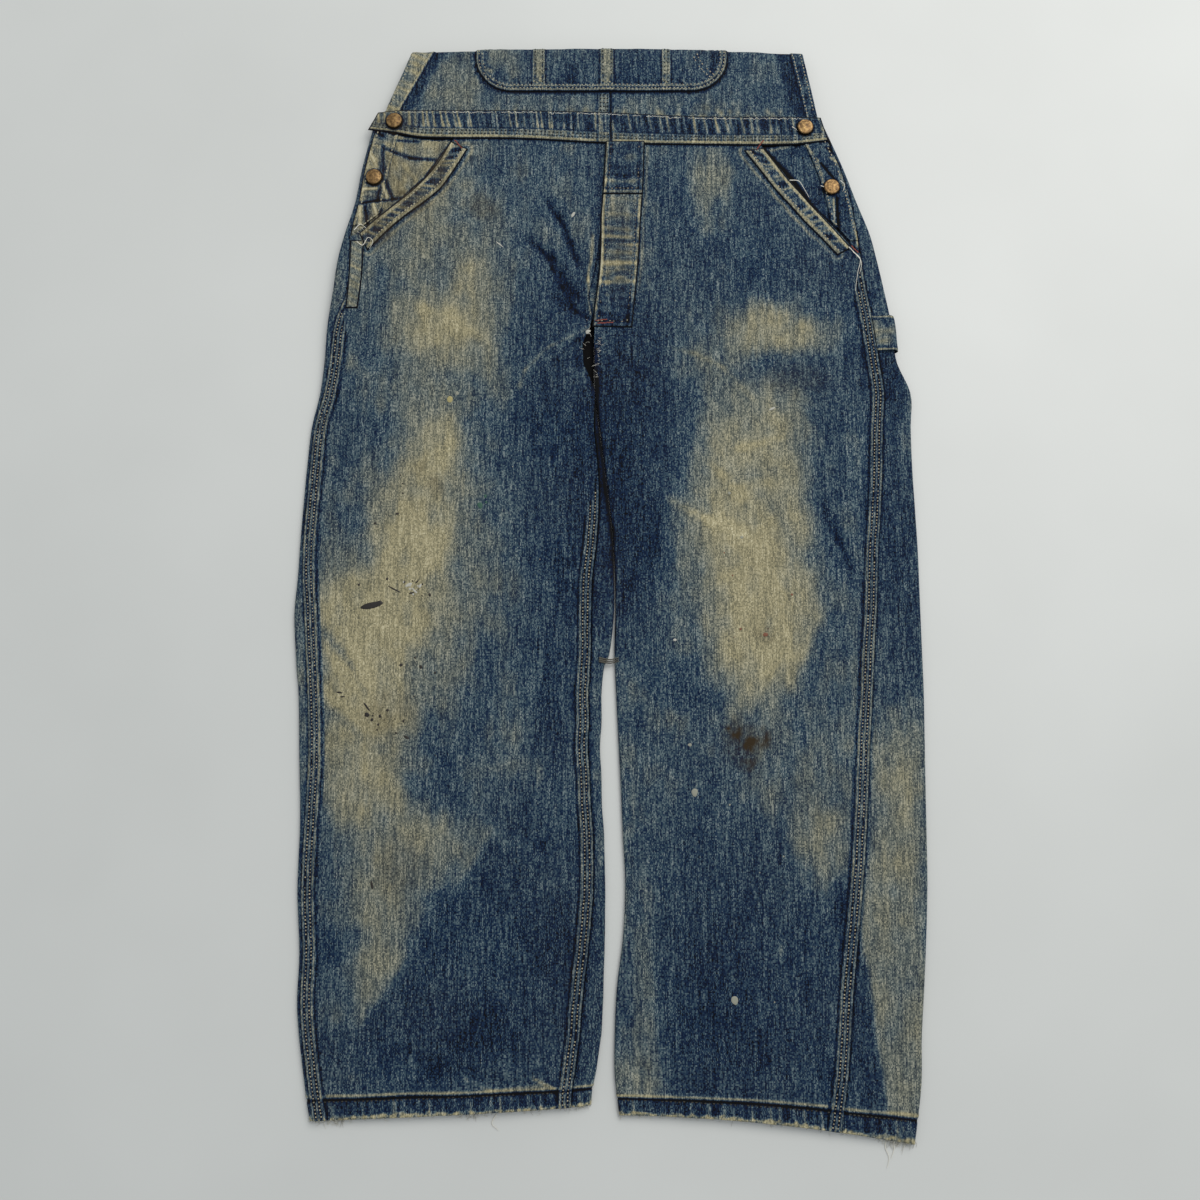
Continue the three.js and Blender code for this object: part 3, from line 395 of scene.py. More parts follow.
# Paint: middle, half sizes, turn in degrees and colour
PAINT_COLOURS = {
    "brown": (26, 18, 12), "green": (40, 84, 66), "cream": (150, 150, 134), "white": (186, 184, 172),
    "yellow": (170, 158, 104), "rust": (120, 70, 44),
}
PAINT = named("x y wide long turn colour", [
    [-225, -47, 11, 3.3, 12, "brown"], [-218, -45, 4, 2.6, 20, "brown"],
    [-203.5, -31.5, 7.2, 0.8, -28, "brown"], [-237.5, -27, 1.3, 1.2, 0, "brown"],
    [-190, -27, 4.2, 1.4, 24, "white"], [-184, -33, 3.2, 1.0, -40, "white"],
    [-179, -28, 2.4, 1.2, 60, "white"], [-187, -35, 2.6, 0.9, 10, "brown"],
    [-182, -24, 2.2, 0.8, 50, "brown"],
    [-195.4, -104, 2.0, 1.4, 0, "brown"], [-182.3, -97, 1.0, 1.1, 20, "brown"],
    [-163, -111.5, 1.0, 1.5, 0, "brown"], [-252.7, -130, 3.4, 0.9, -8, "brown"],
    [-249.7, -134, 2.4, 0.8, 0, "brown"], [-226.3, -143.5, 5.6, 0.9, -53, "brown"],
    [-226, -151, 2.5, 2.3, 0, "brown"], [-191.6, -156.7, 1.0, 1.5, 0, "brown"],
    [-198.4, -168, 1.2, 1.0, 0, "brown"], [-188.5, -172, 3.0, 1.3, -30, "brown"],
    [-216.8, -307, 1.3, 3.8, 10, "brown"], [-123, 51, 2.6, 3.4, 10, "green"],
    [-118, 60, 1.4, 1.8, 0, "green"], [-117, 54, 1.0, 1.6, 30, "green"], [81, -223, 3.0, 4.0, 0, "cream"],
    [115, -409, 3.3, 4.0, 20, "cream"], [-34, 347, 3.2, 1.5, 60, "white"],
    [-107, 315, 4.6, 0.8, -40, "white"],
    [-154, 157, 3.0, 3.4, 0, "yellow"], [-147, 163, 1.8, 2.0, 0, "cream"],
    [161, 147, 3.2, 1.2, 30, "white"],
    [129, 19, 1.8, 1.4, 0, "cream"], [118, 63, 1.6, 1.6, 0, "cream"], [150, -75, 2.6, 2.0, 0, "rust"],
    [64, -80, 1.8, 1.4, 0, "white"], [77, -179, 2.0, 1.6, 0, "cream"], [-19, 224, 2.6, 1.8, 30, "white"],
])
# Clouds of fine specks: middle, half sizes, how many and colour
SPECKS = named("x y wide long count colour", [
    [-210, -151, 14, 16, 12, "brown"], [-184, -30, 13, 13, 9, "brown"], [-185, -30, 14, 12, 9, "white"],
    [-205, -100, 50, 90, 8, "brown"], [-190, 60, 50, 60, 5, "brown"], [140, -60, 40, 70, 6, "rust"],
    [130, -330, 70, 120, 5, "cream"], [-100, 60, 60, 140, 3, "cream"], [60, 180, 70, 120, 3, "cream"],
])


# Points of the grids: rows and columns, or counts between stretches
GRIDS = SimpleNamespace(
    right_front=(16, 68, 44, 18), left_front=(16, 76, 38, 9, 7), back=(8, 10, 64, 12, 24),
    waistband=(500, 28), fly=(170, 26), fly_tab=(60, 26), underlap=(60, 30), facing=(110, 80),
    welt=(130, 16), side_band=(100, 24), vent=(60, 9), loop_rows=40, loop_columns=(20, 18, 22),
    bib_rows=(76, 30), bib_columns=(20, 42, 10), pocket_corner=24, pocket_middle=200, pocket_rise=42,
    back_fold=(70, 40),
)

# Noise

LATTICE = np.random.default_rng(11).uniform(-1, 1, 65536)


def noise(x, y, cell_x, cell_y, seed=0):
    """Smooth noise from -1 to 1 with cells of that size."""
    u, v = np.broadcast_arrays(np.asarray(x, float) / cell_x, np.asarray(y, float) / cell_y)
    i, j = np.floor(u).astype(np.int64), np.floor(v).astype(np.int64)
    fu, fv = u - i, v - j
    fu, fv = fu * fu * (3 - 2 * fu), fv * fv * (3 - 2 * fv)

    def corner(a, b):
        return LATTICE[((i + a) * 73856093 ^ (j + b) * 19349663 ^ (seed + 1) * 83492791) & 65535]

    low = lerp(corner(0, 0), corner(1, 0), fu)
    high = lerp(corner(0, 1), corner(1, 1), fu)
    return lerp(low, high, fv)


# Layers of noise: how strong each is, its cells and its seed
LAYER_COLUMNS = "share wide long seed"
BUCKLES = named(LAYER_COLUMNS, [[0.35, 26, 40, 3], [0.16, 9, 17, 4], [0.05, 3.5, 8, 5]])
STREAKS_OF_WEAR = named(LAYER_COLUMNS, [[4, 3.4, 60, 6], [3, 9, 46, 7], [5, 30, 34, 8]])
FACING_SLACK = named(LAYER_COLUMNS, [[0.3, 14, 18, 81], [0.2, 6, 8, 82]])
BIB_SLACK = named(LAYER_COLUMNS, [[0.4, 34, 26, 132], [0.18, 11, 12, 133]])
UNDER_SLACK = named(LAYER_COLUMNS, [[0.3, 22, 60, 14], [0.2, 9, 26, 15]])


def layers(x, y, rows):
    return sum(row.share * noise(x, y, row.wide, row.long, row.seed) for row in rows)


# Form of the legs

def base_height(y):
    return HIP_BASE * smoothstep(y, RAMP_FOOT_Y, RAMP_HEAD_Y)


def leg_height(leg, y):
    hem = 1 - smoothstep(y, leg.hem + HEM_DEPTH - 1.5, leg.hem + HEM_DEPTH + 1.5)
    return LEG_HEIGHT + HIP_EXTRA * smoothstep(y, RAMP_FOOT_Y, RAMP_HEAD_Y) + HEM_EXTRA * hem


def beside(row, x, y):
    """How far points lie to the right of a line, and how far past its ends."""
    dx, dy = row.x2 - row.x1, row.y2 - row.y1
    length = math.hypot(dx, dy)
    along = ((x - row.x1) * dx + (y - row.y1) * dy) / length
    across = ((x - row.x1) * dy - (y - row.y1) * dx) / length
    return across, np.maximum(np.maximum(-along, along - length), 0)


def crease_height(rows, x, y, sharpness=0):
    """Sum of creases; with a sharpness, narrow ones count for more than wide ones."""
    total = np.zeros(np.broadcast(x, y).shape)
    for row in rows:
        across, beyond = beside(row, x, y)
        height = row.height / row.width**sharpness
        total += height * np.exp(-((across / row.width) ** 2) - (beyond / (1.6 * row.width)) ** 2)
    return total


def creases(x, y, sharpness=0):
    wander = 1.6 * noise(x, y, 13, 13, 1), 1.6 * noise(x, y, 13, 13, 2)
    return crease_height(CREASES, x + wander[0], y + wander[1], sharpness)


def fine_relief(x, y):
    """Creases too fine for the part, and the slow buckling of washed denim."""
    return layers(x, y, BUCKLES) + creases(x, y)


def top_height(leg, x, y, station):
    calm = 1 - smoothstep(y, CALM_Y - CALM_REACH, CALM_Y)
    opened = smoothstep(station, ROLL_Y, CROTCH_Y)
    from_outer = np.abs(x - leg.rows.smooth("outer", station)) - LEG_HEIGHT / 2
    from_inner = np.abs(x - leg.rows.smooth("inner", station)) - LEG_HEIGHT / 2
    inner_rise = lerp(smoothstep(from_inner, 0, CROWN_REACH), 1, opened)
    rise = smoothstep(from_outer, 0, CROWN_REACH) * inner_rise
    edge = smoothstep(from_outer, 0, EDGE_REACH) * lerp(smoothstep(from_inner, 0, EDGE_REACH), 1, opened)
    ripple = RIPPLE.height * np.sin(x / RIPPLE.across + 1) * np.sin(y / RIPPLE.along + 0.6)
    form = calm * rise * (CROWN + ripple + crease_height(FOLDS, x, y))
    return base_height(station) + leg_height(leg, station) + form + calm * edge * fine_relief(x, y)


def surface(x, y):
    """Height of the top layer at a point of the plan."""
    y = np.minimum(y, PANEL_TOP_Y)
    return np.where(x < 0, top_height(RIGHT_LEG, x, y, y), top_height(LEFT_LEG, x, y, y))


def section(leg, y):
    """Lengths round one leg: half of the round runs from the outer edge over the top to the inner edge."""
    s = SimpleNamespace(outer=leg.rows.smooth("outer", y), inner=leg.rows.smooth("inner", y))
    s.inner = s.inner + leg.wave * noise(0 * y, y, 50, 26, 19) * (1 - smoothstep(y, *WAVE_TOP))
    s.height = leg_height(leg, y)
    s.base = base_height(y)
    s.outer_roll = s.height / 2
    s.inner_roll = s.height / 2 * (1 - smoothstep(y, ROLL_Y, CROTCH_Y))
    s.outer_arc = s.outer_roll * math.pi / 2
    s.inner_arc = s.inner_roll * math.pi / 2
    s.flat = np.abs(s.inner - s.outer) - s.outer_roll - s.inner_roll
    s.half = s.outer_arc + s.flat + s.inner_arc
    return s


def ring(leg, y, length):
    """Points and outward directions, a length round a leg from its outer edge, below zero underneath."""
    s = section(leg, y)
    q = np.where(length < -s.half, length + 2 * s.half, length)
    q = np.where(q > s.half, q - 2 * s.half, q)
    up = np.where(q >= 0, 1.0, -1.0)
    run = np.abs(q)
    on_outer = run < s.outer_arc
    on_inner = (run > s.outer_arc + s.flat) & (s.inner_roll >= 0.01)
    a = run / s.outer_roll
    b = (run - s.outer_arc - s.flat) / np.maximum(s.inner_roll, 0.01)
    flat_x = s.outer + leg.inward * (s.outer_roll + np.minimum(run - s.outer_arc, s.flat))
    x = np.where(on_outer, s.outer + leg.inward * s.outer_roll * (1 - np.cos(a)), flat_x)
    x = np.where(on_inner, s.inner - leg.inward * s.inner_roll * (1 - np.sin(b)), x)
    share = np.maximum((x - s.inner) / (s.outer - s.inner), 0)
    py = y + leg.rows.smooth("skew", y) * share ** leg.hem_power
    flat_z = np.where(up > 0, top_height(leg, x, py, y + 0 * x), s.base)
    rim = np.where(up > 0, s.base + s.height - s.inner_roll, s.base + s.inner_roll)
    z = np.where(on_outer, s.base + s.height / 2 + up * s.outer_roll * np.sin(a), flat_z)
    z = np.where(on_inner, rim + up * s.inner_roll * np.cos(b), z)
    side = np.where(on_outer, -leg.inward * np.cos(a), np.where(on_inner, leg.inward * np.sin(b), 0.0))
    rise = np.where(on_outer, up * np.sin(a), np.where(on_inner, up * np.cos(b), up))
    return np.stack([x, py, z], -1), np.stack([side, 0 * side, rise], -1)


def length_from_outer(s, distance):
    bent = s.outer_roll * np.arccos(np.clip(1 - distance / s.outer_roll, -1, 1))
    return np.where(distance >= s.outer_roll, s.outer_arc + distance - s.outer_roll, bent)


def length_from_inner(s, distance):
    run = np.abs(distance)
    straight = np.sign(distance) * (s.inner_arc + run - s.inner_roll)
    return np.where(run >= s.inner_roll, straight, distance * math.pi / 2)


def front_span(leg, y):
    """Where the front panel starts and ends round the leg."""
    s = section(leg, y)
    mouth = np.where(y > leg.mouth.at[0], leg.mouth.straight("reach", y), 0)
    start = length_from_outer(s, np.maximum(leg.rows.smooth("outseam", y), mouth))
    back = length_from_inner(s, leg.rows.smooth("inseam", y)) + leg.gape * GAPE.straight("width", y)
    return s, start, s.half - back - GAP


# Sewn edges

def bell(distance, width):
    return np.exp(-((distance / width) ** 2))


def puckers(along, across, seed, pitch=8.0, width=0.24, slant=0.5):
    """Uneven ridges drawn up along a stitched edge, from 0 to 1."""
    run = (along + slant * across) / pitch + 0.25 * noise(along, across, 40, 30, seed)
    cell = np.floor(run).astype(np.int64)
    ridge = np.zeros(run.shape)
    for step in (-1, 0, 1):
        key = (cell + step) * 7919 + seed * 104729
        centre = cell + step + 0.5 + 0.36 * LATTICE[key & 65535]
        size = 0.7 + 0.3 * LATTICE[(key * 31 + 17) & 65535]
        ridge = np.maximum(ridge, size * bell(run - centre, width))
    return ridge


def settle(wash, sewn):
    """Brings the wash to the levels of what is sewn there, and keeps some of the fade."""
    for share, level in sewn:
        wash = wash + share * (level + 0.4 * (wash - 0.45) - wash)
    return wash


def felled(along, distance, seed):
    """Lift of a felled seam and its wash, by the distance from its folded edge."""
    ridge = puckers(along, distance, seed, 5.5, 0.3, 0.25)
    body = smoothstep(distance, -0.5, 0.4) * (1 - smoothstep(distance, SEAM_WIDTH - 0.8, SEAM_WIDTH + 0.8))
    # The stitch rows are darkened as painted shade of their needle pits, and the lines beside both edges are
    # painted shade.
    rows = sum(bell(distance - row, 1.25) for row in SEAM_ROWS)
    lift = body * (SEAM_RISE + 0.25 * ridge - 0.35 * rows)
    shaded = [(0.9 * bell(distance - SEAM_WIDTH - 1.3, 1.0), -0.2), (0.85 * bell(distance + 0.8, 0.9), -0.2)]
    return lift, [(body, 0.64 + 0.14 * ridge - 0.95 * rows), *shaded]


def hem_form(leg, y, x):
    """Lift of the hem and its wash: bars drawn up by the stitching, a groove darkened with painted shade and
    a ridge above it.
    """
    height = y - leg.hem + 0.9 * noise(x, 0 * x, 45, 45, 44)
    bars = puckers(x, height, 41, 9.0, 0.2, 0.15)
    band = 1 - smoothstep(height, *HEM_LINES.band)
    groove, ridge = bell(height - HEM_LINES.groove, 1.2), bell(height - HEM_LINES.ridge, 1.2)
    lift = 0.4 * band * bars - 0.7 * groove + 0.5 * ridge
    frayed = 1 - smoothstep(height + 1.2 * noise(x, 0 * x, 4, 4, 45), *HEM_LINES.frayed)
    return lift, [(0.95 * band, 0.1 + 0.6 * bars + 0.1 * noise(x, y, 3, 30, 46)), (groove, CREVICE - 0.2),
                  (0.9 * ridge, 0.92), (0.9 * frayed, 0.92 + 0.4 * noise(x, y, 2.4, 1.8, 47))]


def front_points(leg, y, q):
    """The front panel with its seams and hem, and the wash of what is sewn."""
    _, start, end = front_span(leg, y)
    points, out = ring(leg, y, q)
    lift, sewn = hem_form(leg, y, points[..., 0])
    for distance, top, seed in ((q - start, leg.seam_top, 21), (end - q, leg.inseam_top, 31)):
        shown = SEAM_WEDGE * (top - y)
        share = (1 - smoothstep(y, top - 6, top)) * (1 - smoothstep(distance, shown - 0.8, shown + 0.8))
        rise, levels = felled(y, distance, seed)
        lift = lift + share * rise
        sewn = sewn + [(share * part, level) for part, level in levels]
    lift = lift * (1 - smoothstep(-out[..., 2], 0.3, 0.9))
    return points + out * lift[..., None], out, sewn


# Wear

PANEL_WASH = 0.42  # between the fades
PATCH_SOFT = (0.2, 1.5)  # shares of its half sizes over which a patch runs out
STAIN_SOFT = (0.35, 1.25)  # and a stain
EDGE_FADE = 40  # how far past the ends of its line a sharp edge runs out
BUTTON_SHADE = (8.4, 10.4)  # distances from the middle of a button over which its shade ends
# Heights over which the lines beside the fly begin: the shaded one on its right, the pale one on its left
FLY_SHADED_FROM = (270, 330)
FLY_PALE_FROM = (250, 275)


def patch_mask(x, y, row):
    c, s = math.cos(math.radians(row.turn)), math.sin(math.radians(row.turn))
    u, v = x - row.x, y - row.y
    reach = np.hypot((u * c + v * s) / row.wide, (v * c - u * s) / row.long)
    return row.share * (1 - smoothstep(reach, *PATCH_SOFT))


def wear(x, y, patches, edges, start):
    """Wash of the cloth, with fades that run out in streaks along the warp."""
    streak = layers(x, y, STREAKS_OF_WEAR)
    drift = 6 * noise(x, y, 24, 30, 9)
    wash = start + 0.06 * noise(x, y, 60, 90, 10) + 0 * streak
    for row in patches:
        mask = patch_mask(x + drift, y + streak, row)
        wash = wash + mask * (row.level - wash)
    for row in edges:
        across, beyond = beside(row, x, y)
        across = across + 0.3 * drift + 0.2 * streak
        mask = smoothstep(across, -row.soft, row.soft) * (1 - smoothstep(across, row.reach / 2, row.reach))
        wash = wash + mask * (1 - smoothstep(beyond, 0, EDGE_FADE)) * (row.level - wash)
    return wash + 0.05 * noise(x, y, 14, 22, 16) + 0.04 * noise(x, y, 3.4, 40, 17)


def line_distance(x, y, line):
    """How far points of the plan are from a line of plan points."""
    nearest = np.full(np.broadcast(x, y).shape, 1e3)
    for (ax, ay), (bx, by) in zip(line[:-1], line[1:]):
        dx, dy = bx - ax, by - ay
        t = np.clip(((x - ax) * dx + (y - ay) * dy) / (dx * dx + dy * dy), 0, 1)
        nearest = np.minimum(nearest, np.hypot(x - ax - t * dx, y - ay - t * dy))
    return nearest


def beside_sewn(x, y, wash):
    """Shaded and pale lines on the panels along what is sewn to them."""
    for side in LEGS:
        rows = WELTS[side].columns
        away = line_distance(x, y, list(zip(rows["panel_x"], rows["panel_y"])))
        wash = lerp(wash, 0.1, 0.7 * bell(away - 2.4, 1.6))
        wash = lerp(wash, 0.8, 0.75 * bell(away - 6.4 - 1.6 * noise(x, y, 18, 18, 18), 1.5))
    inside = smoothstep(y, FLY.at[0] - 4, FLY.at[0] + 4)
    on_left, on_right = x - FLY.smooth("left", y), FLY.smooth("right", y) - x
    shaded = smoothstep(on_right, -2, 0) * (1 - smoothstep(on_right, 4, 14))
    shaded = shaded * smoothstep(y, *FLY_SHADED_FROM)
    wash = lerp(wash, 0.12, 0.55 * shaded)
    wash = lerp(wash, CREVICE, 0.9 * inside * bell(on_left - 1.0, 1.5))
    pale = 0.6 * inside * bell(on_left - 4.6, 1.7) * smoothstep(y, *FLY_PALE_FROM)
    wash = lerp(wash, 0.72, pale)
    below_band = BAND.smooth("bottom", x) - y
    return lerp(wash, CREVICE, 0.9 * bell(below_band - 1.2, 1.7))


def shade_lines(x, y, wash):
    return lerp(wash, CREVICE, np.clip(crease_height(SHADED_LINES, x, y), 0, 1))


def top_wash(x, y):
    # Crease crests are paler and troughs darker, partly wear and partly painted shade; the shaded lines and
    # the lines beside sewn edges are painted shade.
    ridges = 0.05 * crease_height(FOLDS, x, y) + 0.6 * creases(x, y, 1)
    wash = wear(x, y, TOP_PATCHES, TOP_EDGES, PANEL_WASH) + ridges
    return shade_lines(x, y, beside_sewn(x, y, wash))


def button_shade(x, y):
    """How far a point is shaded by the rim of a button."""
    return sum(1 - smoothstep(np.hypot(x - row.x, y - row.y), *BUTTON_SHADE) for row in BUTTONS)


def under_wash(x, y):
    return shade_lines(x, y, wear(x, y, UNDER_PATCHES, (), PANEL_WASH))


def soiling(x, y):
    total = np.zeros(np.broadcast(x, y).shape)
    wander = 5 * noise(x, y, 7, 9, 12)
    for row in STAINS:
        reach = np.hypot((x + wander - row.x) / row.wide, (y - wander - row.y) / row.long)
        total = np.maximum(total, row.share * (1 - smoothstep(reach, *STAIN_SOFT)))
    return total + 0.05 * (1 + noise(x, y, 50, 60, 13))


# Meshes

UP = np.array([0.0, 0.0, 1.0])
INSIDE_WASH = -0.3  # the shaded inner face of the cloth
BIB_INSIDE_WASH = 0.35  # the bib's, which shows at its ends


def add_mesh(name, points, faces, smooth=None):
    mesh = bpy.data.meshes.new(name)
    mesh.vertices.add(len(points))
    mesh.vertices.foreach_set("co", np.ascontiguousarray(points * MM, np.float32).ravel())
    mesh.loops.add(faces.size)
    mesh.loops.foreach_set("vertex_index", np.ascontiguousarray(faces, np.int32).ravel())
    mesh.polygons.add(len(faces))
    mesh.polygons.foreach_set("loop_start", np.arange(len(faces), dtype=np.int32) * faces.shape[1])
    smooth = np.ones(len(faces), bool) if smooth is None else smooth
    mesh.polygons.foreach_set("use_smooth", smooth)
    mesh.update(calc_edges=True)
    piece = bpy.data.objects.new(name, mesh)
    bpy.context.collection.objects.link(piece)
    return piece


def set_attribute(piece, name, values):
    attribute = piece.data.attributes.new(name, "FLOAT", "POINT")
    attribute.data.foreach_set("value", np.ascontiguousarray(values, np.float32).ravel())


def quads(index):
    corners = index[:-1, :-1], index[:-1, 1:], index[1:, 1:], index[1:, :-1]
    return np.stack([c.ravel() for c in corners], -1)


def round_quads(count, sides):
    """Faces between closed rings of points."""
    index = np.arange(count * sides).reshape(count, sides)
    return quads(np.concatenate([index, index[:, :1]], axis=1))


def unit(vectors):
    return vectors / np.maximum(np.linalg.norm(vectors, axis=-1, keepdims=True), 1e-9)


def grid_normals(grid):
    return unit(np.cross(np.gradient(grid, axis=1), np.gradient(grid, axis=0)))


def shell(name, outer, up, wash, inner=None, inside=INSIDE_WASH):
    """A closed cloth wall behind a grid of points; up is the rough outward direction of each."""
    normal = grid_normals(outer)
    turned = np.sum(normal * up) < 0
    if inner is None:
        inner = outer + normal * (CLOTH if turned else -CLOTH)
    count = outer.shape[0] * outer.shape[1]
    index = np.arange(count).reshape(outer.shape[:2])
    rim = np.concatenate([index[0, :-1], index[:-1, -1], index[-1, :0:-1], index[:0:-1, 0]])
    onward = np.roll(rim, -1)
    walls = np.stack([onward, rim, rim + count, onward + count], -1)
    faces = np.concatenate([quads(index), quads(index + count)[:, ::-1], walls])
    faces = faces[:, ::-1] if turned else faces
    points = np.concatenate([outer.reshape(-1, 3), inner.reshape(-1, 3)])
    smooth = np.arange(len(faces)) < len(faces) - len(walls)
    piece = add_mesh(name, points, faces, smooth)
    wash = np.broadcast_to(wash, outer.shape[:2]).ravel()
    soil = soiling(outer[..., 0], outer[..., 1]).ravel()
    set_attribute(piece, "wash", np.concatenate([wash, inside + 0.2 * wash]))
    set_attribute(piece, "soil", np.concatenate([soil, soil]))
    return piece


def graded(knots, counts):
    """Lengths through the knots, with that many steps between each pair."""
    knots = np.broadcast_arrays(*knots)
    parts = [a + (b - a) * np.arange(n) / n for a, b, n in zip(knots, knots[1:], counts)]
    return np.concatenate([*parts, knots[-1]], axis=1)


def dress(piece, material, nodes=()):
    piece.data.materials.append(material)
    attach(piece, "root")
    if nodes:
        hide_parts(*nodes)
    return piece


def declare(area=None):
    """Turns the area of a cloth piece's flat cut from square millimetres to square metres; nothing more is
    done with it.
    """
    area = None if area is None else area * MM * MM


# Materials

def srgb(red, green, blue):
    def linear(value):
        c = value / 255
        return c / 12.92 if c <= 0.04045 else ((c + 0.055) / 1.055) ** 2.4

    return (linear(red), linear(green), linear(blue), 1.0)


class Nodes:
    """A short way to write a node tree."""

    def __init__(self, name):
        self.material = bpy.data.materials.new(name)
        self.material.use_nodes = True
        self.tree = self.material.node_tree
        self.shader = self.tree.nodes["Principled BSDF"]

    def add(self, kind, inputs=None, **settings):
        node = self.tree.nodes.new(kind)
        for key, value in settings.items():
            setattr(node, key, value)
        for key, value in (inputs or {}).items():
            self.feed(node.inputs[key], value)
        return node

    def feed(self, socket, value):
        """Links a socket to another node's output, or sets its constant value."""
        if isinstance(value, bpy.types.NodeSocket):
            self.tree.links.new(value, socket)
        else:
            socket.default_value = value

    def shade(self, **inputs):
        for key, value in inputs.items():
            self.feed(self.shader.inputs[key.replace("_", " ").title().replace("Ior", "IOR")], value)

    def attribute(self, name):
        return self.add("ShaderNodeAttribute", attribute_name=name).outputs["Fac"]

    def stretched(self, scale):
        place = self.add("ShaderNodeTexCoord").outputs["Object"]
        return self.add("ShaderNodeMapping", {"Vector": place, "Scale": scale}).outputs["Vector"]

    def noise(self, scale, detail=2.0, roughness=0.55):
        """Noise with that many cells to a metre along each axis."""
        settings = {"Vector": self.stretched(scale), "Scale": 1.0, "Detail": detail, "Roughness": roughness}
        return self.add("ShaderNodeTexNoise", settings).outputs["Fac"]

    def yarns(self, scale):
        """An even chance for each small cell, with that many cells to a metre along each axis."""
        cell = self.add("ShaderNodeVectorMath", {0: self.stretched(scale)}, operation="FLOOR")
        return self.add("ShaderNodeTexWhiteNoise", {"Vector": cell.outputs["Vector"]}).outputs["Value"]

    def math(self, operation, *values):
        return self.add("ShaderNodeMath", dict(enumerate(values)), operation=operation).outputs[0]

    def ramp(self, value, stops):
        node = self.add("ShaderNodeValToRGB", {"Fac": value})
        elements = node.color_ramp.elements
        while len(elements) < len(stops):
            elements.new(0.5)
        for element, (position, colour) in zip(elements, stops):
            element.position = position
            element.color = colour
        return node.outputs["Color"]

    def mix(self, factor, first, second):
        node = self.add("ShaderNodeMix", data_type="RGBA")
        for number, value in ((0, factor), (6, first), (7, second)):
            self.feed(node.inputs[number], value)
        return node.outputs[2]

    def bump(self, height, strength, distance):
        settings = {"Height": height, "Strength": strength, "Distance": distance}
        self.shade(normal=self.add("ShaderNodeBump", settings).outputs["Normal"])


# Wash and colour of denim, of cloth that is still blue and of cloth worn tan
# The stops below 0 give the near black of painted shade in gaps.
WASH_STOPS = (-0.25, 0.0, 0.25, 0.5, 0.75, 1.0, 1.3)
BLUE_DENIM = (
    (7, 9, 12), (6, 23, 51), (21, 43, 69), (58, 78, 89), (103, 118, 121), (154, 161, 158), (214, 214, 207),
)
TAN_DENIM = (
    (9, 10, 11), (34, 34, 30), (58, 58, 50), (89, 88, 74), (128, 123, 98), (165, 156, 123), (208, 200, 168),
)
TAN_FROM, TAN_TO = 0.42, 0.86  # wash where the tan starts and where it is full
TAN_MOTTLE = 0.3
STAIN_BROWN = (52, 42, 28)
# Cells to a metre and how far each layer moves the wash
YARN_FLOATS = ((1120, 800, 300), 0.68)
WARP_YARNS = ((1060, 90, 120), 0.38)
STREAKS = ((330, 14, 30), 0.36)
MOTTLE = ((55, 40, 40), 0.12)
GRAIN_SHARE = SimpleNamespace(dark=1.15, drop=0.62)  # less grain where the cloth is paler


def denim():
    n = Nodes("denim")
    wash = n.attribute("wash")
    mottle, streaks = n.noise(MOTTLE[0], 1.0), n.noise(STREAKS[0], 1.0)
    tanned = n.add("ShaderNodeMapRange", {
        "Value": n.math("MULTIPLY_ADD", mottle, TAN_MOTTLE, wash),
        "From Min": TAN_FROM + TAN_MOTTLE / 2, "From Max": TAN_TO + TAN_MOTTLE / 2,
    }).outputs[0]
    grain = -(YARN_FLOATS[1] + WARP_YARNS[1] + STREAKS[1] + MOTTLE[1]) / 2
    yarns = ((n.yarns(YARN_FLOATS[0]), YARN_FLOATS), (n.yarns(WARP_YARNS[0]), WARP_YARNS))
    for layer, row in (*yarns, (streaks, STREAKS), (mottle, MOTTLE)):
        grain = n.math("MULTIPLY_ADD", layer, row[1], grain)
    strength = n.math("MULTIPLY_ADD", wash, -GRAIN_SHARE.drop, GRAIN_SHARE.dark)
    # The grain fades out where the wash falls to painted shade.
    lit = n.add("ShaderNodeMapRange", {"Value": wash, "From Min": CREVICE, "From Max": 0.05}).outputs[0]
    worn = n.math("MULTIPLY_ADD", grain, n.math("MULTIPLY", strength, lit), wash)
    low, high = WASH_STOPS[0], WASH_STOPS[-1]
    place = n.math("MULTIPLY_ADD", worn, 1 / (high - low), -low / (high - low))
    stops = [(at - low) / (high - low) for at in WASH_STOPS]
    families = ([srgb(*colour) for colour in family] for family in (BLUE_DENIM, TAN_DENIM))
    blue, tan = (n.ramp(place, list(zip(stops, colours))) for colours in families)
    colour = n.mix(tanned, blue, tan)
    blotch = n.math("MULTIPLY", n.attribute("soil"), n.noise((160, 120, 120), 3.0))
    colour = n.mix(n.math("MULTIPLY", blotch, 1.7), colour, srgb(*STAIN_BROWN))
    n.shade(base_color=colour, roughness=0.92, specular_ior_level=0.12, sheen_weight=0.04)
    n.bump(n.math("MULTIPLY_ADD", n.noise((900, 700, 700)), 2.0, streaks), 0.4, 0.0004)
    return n.material


def thread(name, pale, dark):
    n = Nodes(name)
    worn = n.math("MULTIPLY_ADD", n.noise((900, 900, 900)), 0.5, n.attribute("wash"))
    n.shade(base_color=n.ramp(worn, ((0.2, dark), (0.95, pale))), roughness=0.85, specular_ior_level=0.3)
    n.bump(n.noise((2600, 2600, 2600)), 0.4, 0.0002)
    return n.material


def paint(name, colour):
    n = Nodes(name)
    dull = tuple(0.72 * c for c in colour[:3]) + (1.0,)
    n.shade(base_color=n.mix(n.noise((700, 700, 700), 4.0), dull, colour), roughness=0.6)
    n.bump(n.noise((900, 900, 900)), 0.35, 0.0003)
    return n.material


